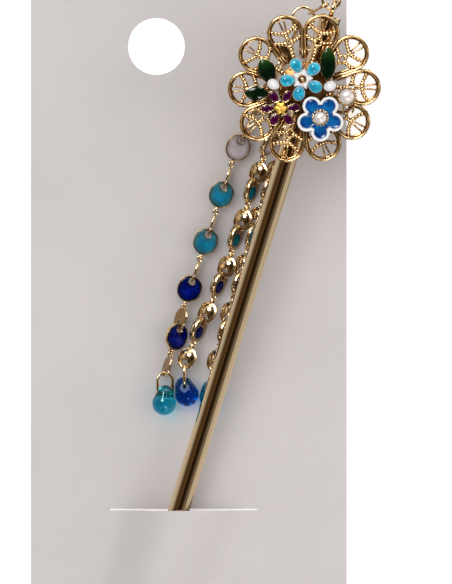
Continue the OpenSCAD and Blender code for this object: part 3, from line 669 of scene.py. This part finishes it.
def turquoise_piece():
    petal_w, petal_l, reach = 2.15, 2.15 * 1.12, 3.65
    place = on_flower @ move(*turquoise_at, high_seat_z)
    base, tops, bead = Build(), Build(), Build()
    for k in range(5):
        turn = place @ rot("Z", turquoise_turn + 72 * k) @ move(reach - petal_l / 2, 0, 0)
        petal = oval_outline(petal_w + 0.1, petal_l + 0.05, pinch=0.22)
        base.pillow(turn, 0, petal, 0, base_t, base_t + 0.1, 0.14, (0.1, 0))
        turn = turn @ move(0.02, 0, 0)
        petal = oval_outline(petal_w - 0.04, petal_l - 0.1, pinch=0.26)
        tops.pillow(turn, 0, petal, base_t + gap, base_t + 0.3, base_t + 0.66, 0.24, (0.12, 0))
        spoke = place @ rot("Z", turquoise_turn + 36 + 72 * k) @ move(0.95, 0, 0)
        arm = oval_outline(0.62, 1.7, pinch=-0.1)
        base.pillow(spoke, 0, arm, base_t - 0.1, base_t + 0.3, base_t + 0.44, 0.14)
    hub = polar(lambda a: 1.3 + 0.12 * cos(5 * a), 50, radians(turquoise_turn + 36))
    base.pillow(place, 0, hub, 0, base_t + 0.25, base_t + 0.34, 0.14)
    stem_low = lattice_t + gap - high_seat_z
    base.add(*lathe([(0.1, stem_low), (1.5, stem_low), (1.5, 0.2), (0.1, 0.2)], 40), place @ rot("X", 90))
    bead.add(*ball((0, 0, base_t + 0.48), 0.34, 14, 22, 0.9), place)
    # The dimple round the bead takes material 1: gold painted dark as painted shade in its recess.
    dimple = [(0.05, base_t + 0.2), (0.72, base_t + 0.2), (0.72, base_t + 0.42), (0.62, base_t + 0.46),
              (0.52, base_t + 0.4), (0.05, base_t + 0.38)]
    bead.add(*lathe(dimple, 40), place @ rot("X", 90), 1)
    base.done("turquoise_base", [white], "white_enamel", "turquoise_flower")
    tops.done("turquoise_tops", [turquoise], "turquoise_enamel", "turquoise_petals")
    bead.done("turquoise_centre", [gold, recess_shade_gold], "gold", "turquoise_bead")


def purple_piece():
    reach, petal_w, outline_n = 3.25, 1.62, 44
    petal_l = reach * 0.68
    place = on_flower @ move(*purple_at, seat_z)
    base, tops = Build(), Build()
    outer = oval_outline(petal_w, petal_l, outline_n, 0.3)
    inner = oval_outline(petal_w - 0.26, petal_l - 0.3, outline_n, 0.32)
    edge = [(Vector(a) + Vector(b)) / 2 for a, b in zip(outer, inner)]
    for k in range(6):
        turn = place @ rot("Z", purple_turn + 60 * k) @ move(reach - petal_l / 2, 0, 0)
        base.pillow(turn, 0, outer, 0, base_t, base_t + 0.02, 0.08)
        base.add(*tube([Vector((p.x, p.y, base_t + 0.2)) for p in edge], 0.15, 0.34, 10), turn)
        tops.pillow(turn, 0, inner, base_t + gap, base_t + 0.26, base_t + 0.4, 0.1)
    base.pillow(place, 0, polar(lambda a: 1.3, 36), 0, base_t + 0.3, base_t + 0.35, 0.1)
    star = polar(lambda a: 0.86 + 0.26 * (0.5 + 0.5 * cos(6 * a)) ** 1.4, 72, radians(purple_turn))
    base.pillow(place, 1, star, base_t, base_t + 0.62, base_t + 0.8, 0.16,
                bumps=lambda q, rim: 0.05 * cos(6 * atan2(q.y, q.x)) * rim)
    base.done("purple_base", [gold, gold_matte], "gold", "purple_flower")
    tops.done("purple_tops", [purple], "purple_enamel", "purple_petals")


def blue_radius(inset, a):
    """Distance from the middle to the edge of the five-lobed outline, inset all round."""
    best = blue_reach * 0.66 - inset
    d, r = blue_reach - blue_lobe, blue_lobe - inset
    for k in range(5):
        b = radians(blue_turn + 72 * k)
        s = d * sin(a - b)
        if abs(s) < r and cos(a - b) > 0:
            best = max(best, d * cos(a - b) + sqrt(r * r - s * s))
    return best


def blue_piece():
    """A white wall that leans out a little round a deep blue bowl."""
    place = on_flower @ move(*blue_at, seat_z)
    n, high, low, least_r = 120, 2.2, base_t + gap, 0.12

    def ring(inset, shrink, z):
        radii = [(a, max(blue_radius(inset, a) - shrink, least_r)) for a in angles(n)]
        return [(r * cos(a), r * sin(a), z) for a, r in radii]

    rows = [(0.0, 0.0), (0.0, high - 0.24), (0.03, high - 0.12), (0.1, high - 0.03), (0.2, high),
            (0.3, high - 0.02), (0.39, high - 0.1), (0.46, high - 0.28), (0.5, high - 0.6),
            (0.52, base_t + 0.62), (blue_wall, base_t)]
    wall = [p for inset, z in rows for p in ring(inset, 0.0, z)]
    b = Build().add(wall, strips(len(rows), n, start=True, end=True), place)
    b.done("blue_wall", [white], "white_enamel", "blue_flower")
    # The third number of each level is its rim value: it darkens the blue towards the wall, painted shade.
    levels = [(0.0, 0.0, 1.0), (0.0, 1.05, 1.0), (0.06, 1.0, 1.0), (0.25, 0.8, 0.9), (0.6, 0.66, 0.7),
              (1.0, 0.58, 0.5), (1.5, 0.55, 0.25), (2.1, 0.55, 0.0)]
    bowl = [p for shrink, z, _ in levels for p in ring(blue_wall + gap, shrink, low + z * bowl_t)]
    bowl.append((0, 0, low + 0.55 * bowl_t))
    rims = [rim for _, _, rim in levels for _ in range(n)] + [0.0]
    faces = strips(len(levels), n, start=True) + fan((len(levels) - 1) * n, n, len(bowl) - 1)
    Build().add(bowl, faces, place, 0, rims).done("blue_inside", [blue_with_painted_shade], "blue_enamel", "blue_bowl")


def pearl_pieces(node, pearl_d, place, prongs, loop=None):
    """A pearl in a gold cup whose edge is scalloped, with beads round its foot. loop is a wire beside it."""
    cup = Build()
    r, wall, floor, scallop, n = pearl_d / 2, 0.15, 0.2, 0.1, 96
    high = floor + pearl_d * 0.3
    rows = [(r + wall, 0.0, 0), (r + wall, -0.02, 1), (r + wall * 0.5, 0.03, 1), (r + gap, -0.02, 1),
            (r + gap, wall, 0)]
    points = []
    for row_r, z, on_edge in rows:
        for a in angles(n):
            edge = high - scallop * (0.5 - 0.5 * cos(prongs * a))
            points.append((row_r * cos(a), row_r * sin(a), edge * on_edge + z))
    cup.add(points, strips(len(rows), n, start=True, end=True), place)
    for at in circle(r + wall + 0.08, prongs * 2, z=floor + 0.3):
        cup.add(*ball(at, 0.2), place)
    if loop:
        cup.add(*tube(loop, 0.4, sides=14), place)
    cup.done(node + "_holder", [gold], "gold", node + "_cup")
    centre = Vector((0, 0, floor + r))
    points, faces = ball(centre, r, 40, 56)
    points = [Vector(p) for p in points]
    points = [centre + (p - centre) * (1 - 0.002 * (0.5 + 0.5 * noise.noise(p * 0.8))) for p in points]
    Build().add(points, faces, place).done(node + "_ball", [pearl], "pearl", node)


def leaf_piece(node, at, turn, w, l, tip_highlight_strength):
    """Dark enamel on a gold leaf: a thin gold edge, a soft fold down the middle and side veins."""
    def veins(q, rim):
        fold = -0.06 * exp(-(q.y / 0.2) ** 2) * (1 - rim * 0.6)
        side = 0.008 * cos((q.x - abs(q.y) * 1.1) * 7.0) * (1 - rim) * min(abs(q.y) * 2, 1)
        return fold + side

    place = on_flower @ move(*at, seat_z) @ rot("Z", turn)
    b = Build().pillow(place, 0, vesica_outline(w, l), 0, 0.36, 0.42, 0.1)
    points, faces, _ = pillow(vesica_outline(w - 0.12, l - 0.25), 0.3, 0.46, leaf_t - 0.02, bumps=veins)
    # The rim value here is the painted highlight, strongest at the leaf's tip.
    tip_highlights = [max(0.0, p[0] * tip_highlight_strength / (l / 2)) ** 1.3 * 0.85 for p in points]
    b.add(points, faces, place, 1, tip_highlights)
    b.done(node + "_form", [gold, leaf_green_painted_highlight], "leaf_enamel", node)


def bud_piece(node, at, turn):
    """A white egg of enamel in a low gold wall."""
    place = on_flower @ move(*at, high_seat_z) @ rot("Z", turn)
    b = Build().pillow(place, 0, oval_outline(1.86, 2.1, 48, 0.14), 0, 0.42, 0.46, 0.08, (0.05, 0))
    b.pillow(place, 1, oval_outline(1.84, 2.1, 48, 0.16), 0.3, 0.7, 1.18, 0.24, (0.05, 0), 2.2)
    b.done(node + "_form", [gold, white], "white_enamel", node)


turquoise_piece()
purple_piece()
blue_piece()
pearl_pieces("blue_pearl", 2.1, on_flower @ move(*blue_at, seat_z + base_t + bowl_t + 2 * gap), 8)
loop_wire = circle(0.85, 40, 0.23, -2.2, 0.2)
pearl_pieces("side_pearl", 2.55, on_flower @ move(*side_pearl_at, seat_z), 10, loop_wire)
# The last number is how strong the painted highlight at each leaf's tip is.
leaf_piece("leaf_upper_left", (-6.15, 2.9), 112, 2.9, 4.7, 1)
leaf_piece("leaf_left", (-7.85, -0.8), 178, 2.6, 4.2, 0.3)
leaf_piece("leaf_upper_right", (3.95, 4.1), 90, 2.7, 6.0, 1)
bud_piece("bud_left", (-5.05, 0.75), 150)
bud_piece("bud_right", (4.28, 0.45), 20)


# --- strands
sides = ("left", "middle", "right")
plain_start, strand_links = 6, 16
left_route = [
    (16.9, 55.8, 6.4), (15.1, 51.6, 3.4), (12.5, 47.2, 2.3), (10.0, 43.2, 2.2), (7.8, 37.9, 2.2),
    (5.3, 30.5, 2.2), (2.8, 22.8, 2.2), (0.0, 15.0, 2.2), (-2.2, 7.2, 2.2), (-4.0, 1.0, 2.2)]
middle_route = [
    (19.6, 55.5, 8.0), (21.4, 52.4, 7.6), (22.4, 49.0, 7.2), (21.2, 45.6, 6.4), (17.5, 43.2, 5.2),
    (13.4, 40.2, 3.0), (11.1, 33.0, 2.62), (8.4, 24.9, 2.62), (5.55, 16.6, 2.62), (2.4, 9.8, 2.62),
    (-0.2, 3.8, 2.62)]
right_route = [
    (22.5, 56.2, 6.4), (23.6, 52.8, 3.8), (23.4, 48.9, 2.8), (21.4, 45.2, 2.6), (18.1, 41.5, 2.6),
    (15.5, 37.5, 2.6), (13.1, 32.0, 2.6), (10.6, 24.4, 2.6), (8.3, 16.4, 2.6), (5.9, 8.2, 2.6),
    (4.1, 1.6, 2.6)]
# For each strand: where it leaves the strand ring, its route, its hand and the turns of its links.
strands = [
    (232, left_route, 1, [90, 65, 35, 5, 0, 0, 0, 35, 20]),
    (268, middle_route, 1, [-90, -98, -107, -115, -115, -115, -115, -115, -115]),
    (314, right_route, -1, [90, 82, 74, 65, 65, 65, 65, 65, 65]),
]
strand_ring_r, top_ring_r = (strand_ring_d - ring_wire) / 2, (top_ring_d - ring_wire) / 2
strand_ring_at = Vector((19.04, 60.08, 9))
top_ring_at = on_stick @ Vector((0, eye_along, 0)) + Vector((-0.3, top_ring_r - 0.1, 0))


def is_enamel(i):
    return i >= plain_start and i % 2 == 0


def eye_y(l):
    return l / 2 - link_eye_rim - link_eye_d / 2


def tab_y(l):
    return l / 2 + tab_hole_d / 2


def ring_point(middle, r, turn):
    a = radians(turn)
    return middle + r * Vector((cos(a), sin(a), 0))


disc_l = [enamel_l if is_enamel(i) else plain_l for i in range(strand_links)]
eye_reach = [eye_y(l) + (link_eye_d - link_play) / 2 for l in disc_l]
tab_reach = [tab_y(l) + (tab_hole_d + tab_wire) / 4 for l in disc_l]
first_back = (link_eye_d - link_play) / 2 - ((link_eye_d - ring_wire) / 2 - clear)


def joints(ring_turn, route):
    """The points where a strand's links meet, walked along its route."""
    way = [ring_point(strand_ring_at, strand_ring_r, ring_turn)] + [Vector(p) for p in route]
    out = [way[0] + first_back * (way[0] - way[1]).normalized()]
    leg = 0
    for i in range(strand_links):
        d = eye_reach[i] + tab_reach[i]
        while True:
            u, w = way[leg + 1] - way[leg], way[leg] - out[-1]
            a, b, c = u.dot(u), u.dot(w), w.dot(w) - d * d
            q = b * b - a * c
            t = 2 if q < 0 else (-b + sqrt(q)) / a
            if t <= 1 or leg + 2 >= len(way):
                break
            leg += 1
        out.append(way[leg] + u * t)
    return out


def along(at, direction, turn):
    """A place whose Y axis lies along direction, turned about it by degrees."""
    d = direction.normalized()
    return (move(*at) @ rot("Z", degrees(atan2(d.y, d.x)) - 90)
            @ rot("X", degrees(asin(d.z))) @ rot("Y", turn))


ways = [joints(*strand[:2]) for strand in strands]


def link_place(s, i):
    way = ways[s]
    _, _, hand, turns = strands[s]
    turn = turns[(i + 1) // 2]
    up = (way[i] - way[i + 1]).normalized()
    if i % 2 == 0:
        return along(way[i] - up * eye_reach[i], up, turn)
    return along(way[i] - up * tab_reach[i], -up, -turn - 90 * hand)


def link_sheet(w, l, cup, n):
    """A disc with a round eye near +Y and rounded edges. Without cup it swells in a dome and has a lip
    round its eye, and with cup a wall stands round its front. Gives points, faces and a material number
    for each face: 1 on its dull back and on the wall's top, whose gold is painted dark as painted reflection."""
    hole, edge, half, least_land = link_eye_d / 2, 0.11, link_t / 2, 0.02
    lip_h, lip_at, lip_w, lip_end = 0.07, 0.16, 0.12, 0.6
    dome_r, dome_power = w / 2 - 0.3, 1.2
    dome_at = Vector((0, -(l / 2 - 0.2 - dome_r)))
    eye = Vector((0, eye_y(l)))
    far = list(map(stadium_radius(w, l, eye), angles(n)))
    # Each row is measured from the eye, from the disc's edge or as a share of the land between them.
    rows = [("eye", edge * (1 - cos(a)), half - edge + edge * sin(a), 0)
            for a in map(radians, (0, 30, 60, 90))]
    shares = 8 if cup else 18
    rows += [("share", (s + 1) / (shares + 0.6), half, 0) for s in range(shares)]
    if cup:
        # Material 1 on the wall's top: gold painted dark as painted reflection.
        rows += [("edge", inset, half + h, mat) for inset, h, mat in (
            (enamel_edge, 0, 0), (enamel_edge - 0.03, cup_h - 0.06, 1), (enamel_edge - 0.09, cup_h, 1),
            (0.06, cup_h, 1), (0.015, cup_h - 0.05, 0), (0, 0, 0))]
    else:
        rows += [("edge", edge * (1 - cos(a)), half + edge * (sin(a) - 1), 0)
                 for a in map(radians, (60, 30, 0))]
    front = len(rows)
    bevel, low = edge * 0.3, -half
    # The back rows take material 1, gold painted dark as painted reflection.
    rows += [("edge", 0, low + edge, 0), ("edge", bevel, low + bevel, 0), ("edge", edge, low, 1),
             ("share", 0.7, low, 1), ("share", 0.35, low, 1), ("eye", edge, low, 0),
             ("eye", bevel, low + bevel, 0), ("eye", 0, low + edge, 0)]
    points = []
    for k, (kind, x, z, _) in enumerate(rows):
        for a, reach in zip(angles(n), far):
            land = reach - hole
            if kind == "eye":
                off = hole + x
            elif kind == "edge":
                off = reach - (min(x, land * 0.5) if k < front and land < x + edge else x)
            elif cup and k < front:
                off = hole + edge + max(land - edge - enamel_edge, least_land) * x
            else:
                off = hole + edge + (land - 2 * edge) * x
            p = eye + Vector((cos(a), sin(a))) * off
            h = z
            if k < front and not cup:
                if kind != "edge":
                    h += dome_h * max(0, 1 - ((p - dome_at).length / dome_r) ** 2) ** dome_power
                if off - hole < lip_end:
                    h += lip_h * exp(-((off - hole - lip_at) / lip_w) ** 2)
            points.append((p.x, p.y, h))
    return points, strips(len(rows), n, closed=True), [row[3] for row in rows for _ in range(n)]


def tab_loop(l):
    r = (tab_hole_d + tab_wire) / 2
    path = [Vector((0, -tab_y(l) + r * cos(a), r * sin(a))) for a in angles(28)]
    return tube(path, tab_wire, 0.5, sides=12, up=Vector((1, 0, 0)), power=0.8)


def box_mesh(x0, x1, y0, y1, z0, z1):
    v = [(x, y, z) for z in (z0, z1) for x, y in ((x0, y0), (x1, y0), (x1, y1), (x0, y1))]
    return v, [(3, 2, 1, 0), (4, 5, 6, 7), (0, 1, 5, 4), (1, 2, 6, 5), (2, 3, 7, 6), (3, 0, 4, 7)]


def fill_mesh():
    """Enamel standing in its gold wall and bulging over it, open round the eye and up to the edge."""
    def outline(inset):
        return polar(stadium_radius(enamel_w - 2 * inset, enamel_l - 2 * inset), 72)

    voxel, rounds, slot_w = 0.075, 4, 0.6
    top, eye_at, mouth_r = link_t / 2 + cup_h, eye_y(enamel_l), link_eye_d / 2 + 0.08
    body = Build().pillow(HERE, 0, outline(0.31), link_t / 2 + gap, top + 0.06, top + 0.08, 0.02)
    body.pillow(HERE, 0, outline(0.15), top + 0.03, top + 0.17, top + 0.27, 0.13)
    mouth = lathe([(0.01, 0), (mouth_r, 0), (mouth_r, 3), (0.01, 3)], 48)
    tool = Build().add(*mouth, move(0, eye_at, 0) @ rot("X", 90))
    tool.add(*box_mesh(-slot_w / 2, slot_w / 2, eye_at, 4, 0, 3))
    solid = body.loose("enamel", 1.0)
    mesh = carve(solid, tool.loose("eye_tool", 1.0), voxel, rounds, even_first=True)
    bpy.data.objects.remove(solid)
    points = [v.co.copy() for v in mesh.vertices]
    radius = stadium_radius(enamel_w, enamel_l)
    rims = []
    for p in points:
        to_edge = radius(atan2(p.y, p.x)) - hypot(p.x, p.y)
        to_eye = hypot(p.x, p.y - eye_at) - link_eye_d / 2
        rims.append(min(1.0, max(0.0, 1.25 - min(to_edge, to_eye + 0.2) / 1.1)))
    return points, [tuple(p.vertices) for p in mesh.polygons], rims


def strand_pieces():
    """The links of each strand as one piece, and each link's enamel as a piece of its own."""
    plain, plain_tab = link_sheet(plain_w, plain_l, False, 96), tab_loop(plain_l)
    cup, cup_tab = link_sheet(enamel_w, enamel_l, True, 56), tab_loop(enamel_l)
    window_w, window_l, window_y = enamel_w * 0.55, enamel_l * 0.55, -enamel_l * 0.1
    eye_lip = tube(circle(link_eye_d / 2 + 0.02, 40, 0, eye_y(enamel_l), 0.36), 0.12, 0.5, 10)
    front_points, front_faces, front_rims = fill_mesh()
    window = [(y, x) for x, y in oval_outline(window_l, window_w)][::-1]
    at_window = move(0, window_y, -link_t / 2) @ rot("X", 180)
    shades = [(lilac_white, lilac_white, "white_enamel")] + [(teal, teal_back, "teal_enamel")] * 2 \
        + [(navy, navy_back, "navy_enamel")] * 2
    for s, side in enumerate(sides):
        links = Build()
        for i in range(strand_links):
            place = link_place(s, i)
            if is_enamel(i):
                links.add(*cup[:2], place, cup[2]).add(*cup_tab, place).add(*eye_lip, place)
                enamel = Build().add(front_points, front_faces, place, 0, front_rims)
                enamel.pillow(place @ at_window, 1, window, 0, 0.07, 0.16, 0.06)
                k = (i - plain_start) // 2
                enamel.done(f"{side}_fill_{k + 1}", shades[k][:2], shades[k][2], f"{side}_enamel_{k + 1}")
            else:
                links.add(*plain[:2], place, plain[2]).add(*plain_tab, place)
        links.done(side + "_links", [gold, satin_gold_painted_reflection], "gold", side + "_chain")


strand_pieces()


# --- rings and drops
def oval_path(l, w, n=24):
    r, half = (w - ring_wire) / 2, (l - w) / 2
    return [Vector((s * r * cos(pi * k / n), s * (half + r * sin(pi * k / n)), 0))
            for s in (1, -1) for k in range(n + 1)]


def ring_piece(name, path, place, node, cut):
    """Round wire bent into a ring, with the fine seam where its ends meet before point cut."""
    path = path[cut:] + path[:cut]
    seam = path[0].lerp(path[-1], 0.5)
    half_gap = (path[0] - path[-1]) * 0.04
    ends = [seam + half_gap] + path + [seam - half_gap]
    Build().add(*tube(ends, ring_wire, sides=20, closed=False), place).done(name, [gold], "gold", node)


def drop_piece(side, place, look, slot):
    """A round glass pear with its drilled hole, remeshed and smoothed so that the hole's mouths are soft."""
    core, voxel, rounds = 0.03, 0.075, 8
    r, top_r = drop_w / 2, drop_top_w / 2
    bulb_y, top = hole_drop - drop_l + r, hole_drop - top_r
    a = asin((r - top_r) / (top - bulb_y))
    profile = [(max(r * cos(t), core), bulb_y + r * sin(t))
               for t in (-pi / 2 + (pi / 2 + a) * k / 28 for k in range(29))]
    profile += [(max(top_r * cos(t), core), top + top_r * sin(t))
                for t in (a + (pi / 2 - a) * k / 16 for k in range(17))]
    body = Build().add(*lathe(profile, 96), place).done(side + "_glass", [look], slot, side + "_drop")
    bore = lathe([(0.01, -3), (drop_hole_d / 2, -3), (drop_hole_d / 2, 3), (0.01, 3)], 48)
    tool = Build().add(*bore, place @ rot("X", 90)).loose(side + "_bore")
    body.data = carve(body, tool, voxel * MM, rounds)
    body.data.shade_smooth()


ring_piece("top_ring_wire", circle(top_ring_r, 56), move(*top_ring_at), "top_ring", 12)
ring_piece("strand_ring_wire", circle(strand_ring_r, 56), move(*strand_ring_at), "strand_ring", 16)
link_from, link_to = ring_point(top_ring_at, top_ring_r, 218), ring_point(strand_ring_at, strand_ring_r, 35)
span = link_from - link_to
ring_piece("top_link_wire", oval_path(span.length + 2 * (ring_wire + clear) + ring_wire, top_link_w),
           along(link_to + span / 2, span, 90), "top_link", 10)

# For each drop: where its hole is, its ring's turn, the way up it points, its glass and the slot.
drops = [((-3.95, -3.6, 2.47), 8, (0.1, 1, 0), aqua_glass, "aqua_glass"),
         ((-0.7, -1.1, 2.47), 90, (-0.35, 1, 0), royal_glass, "blue_glass"),
         ((3.6, -2.3, 2.47), 80, (-0.05, 1, 0), teal_glass, "teal_glass")]
for side, way, (drop_hole, turn, up, glass, slot) in zip(sides, ways, drops):
    start = way[-1] - first_back * (way[-1] - way[-2]).normalized()
    foot = start - (start - Vector(drop_hole)).normalized() * (drop_ring_l - ring_wire)
    ring_piece(side + "_drop_wire", oval_path(drop_ring_l, drop_ring_w),
               along((start + foot) / 2, start - foot, turn), side + "_drop_ring", 20)
    drop_piece(side, along(foot, Vector(up), turn + 90), glass, slot)


# --- floor, light and camera
def floor_piece():
    n = material("floor_white")
    tone = n.ramp(n.noise(6.0, 2.0), [(0.3, (0.90, 0.90, 0.90)), (0.7, (0.93, 0.93, 0.93))])
    look = n.surface(n.principled(
        Base_Color=tone, Roughness=0.8, Emission_Color=(1.0, 1.0, 1.0, 1), Emission_Strength=0.3))
    half, z = 3000.0, -0.02
    corners = [(-half, -half, z), (half, -half, z), (half, half, z), (-half, half, z)]
    floor = Build().add(corners, [(0, 1, 2, 3)]).loose("floor")
    floor.data.materials.append(look)
    floor.visible_glossy = False


floor_piece()


def area_light(name, direction, distance, size, power):
    aim = Vector((0.008, 0.02, 0))
    data = bpy.data.lights.new(name, "AREA")
    data.shape, data.size, data.energy = "DISK", size, power
    light = new_object(name, data)
    d = Vector(direction).normalized()
    light.location = aim + d * distance
    light.rotation_mode = "QUATERNION"
    light.rotation_quaternion = d.to_track_quat("Z", "Y")
    light.visible_camera = False
    return light


# The key and the fill light the colours, and the glints are what the gloss mirrors.
area_light("key", (-0.34, 0.2, 1.05), 1.2, 1.2, 6.6).visible_glossy = False
area_light("fill", (0.9, -0.1, 0.6), 1.2, 1.0, 4.5).visible_glossy = False
area_light("glint_upper_left", (-0.34, 0.47, 0.82), 1.0, 0.42, 8.0).visible_diffuse = False
area_light("glint_above", (0.25, 0.75, 0.62), 1.0, 0.25, 1.6).visible_diffuse = False
area_light("glint_below", (0.15, -0.62, 0.76), 1.0, 0.25, 1.6).visible_diffuse = False


def world():
    """A soft studio. What the metal mirrors across the stick is a dark ceiling between pale low walls,
    and away from that plane there are pale and dark patches. The card is lit by an even pale sky."""
    scene.world = bpy.data.worlds.new("studio")
    n = Nodes(scene.world)
    where = n.add("TexCoord", out="Generated")

    def dot(v):
        return n.add("VectorMath", {0: where, 1: v}, "Value", operation="DOT_PRODUCT")

    stick_way, plane_lift, even_sky = (0.293, 0.951, 0.092), 0.09, (0.60, 0.595, 0.59)
    wall, panel, amber = (0.52, 0.50, 0.48), (0.20, 0.18, 0.16), (0.11, 0.075, 0.04)
    brown, umber, black = (0.075, 0.043, 0.02), (0.04, 0.028, 0.018), (0.011, 0.006, 0.003)
    across = n.spread(dot((cos(stick_lean), -sin(stick_lean), 0)), 0.0, 1.0, -1.0, 1.0)
    stick_sky = n.ramp(across, [
        (0.0, wall), (0.05, panel), (0.11, brown), (0.3, brown), (0.38, amber), (0.46, black), (0.56, black),
        (0.65, umber), (0.75, umber), (0.82, panel), (0.9, amber), (0.96, wall), (1.0, wall)])
    patches = n.add("TexNoise", {"Vector": where, "Scale": 1.7, "Detail": 1.0})
    patch_sky = n.ramp(patches, [(0.46, (0.03, 0.015, 0.006)), (0.52, (0.14, 0.08, 0.035)),
        (0.555, (0.9, 0.8, 0.6)), (0.62, (2.4, 2.3, 2.1))])
    off_plane = n.math("ABSOLUTE", n.math("ADD", dot(stick_way), plane_lift))
    mirrored = n.mix(n.spread(off_plane, 0.0, 1.0, 0.2, 0.42), stick_sky, patch_sky)
    colour = n.mix(n.add("LightPath", out="Is Diffuse Ray"), mirrored, even_sky)
    n.surface(n.add("Background", {"Color": colour}), "OutputWorld")


world()
scene.view_settings.view_transform = "Standard"

photo_high, pixels_per_mm, view_at, distance, sensor = 584, 6.0, (6.21, 14.67), 2000.0, 36.0
camera = new_object("camera", bpy.data.cameras.new("camera"))
camera.data.sensor_width = sensor
camera.data.lens = sensor * distance / (photo_high / pixels_per_mm)
camera.location = Vector((*view_at, distance)) * MM
camera.data.clip_start, camera.data.clip_end = 0.1, 100.0
bpy.context.scene.camera = camera
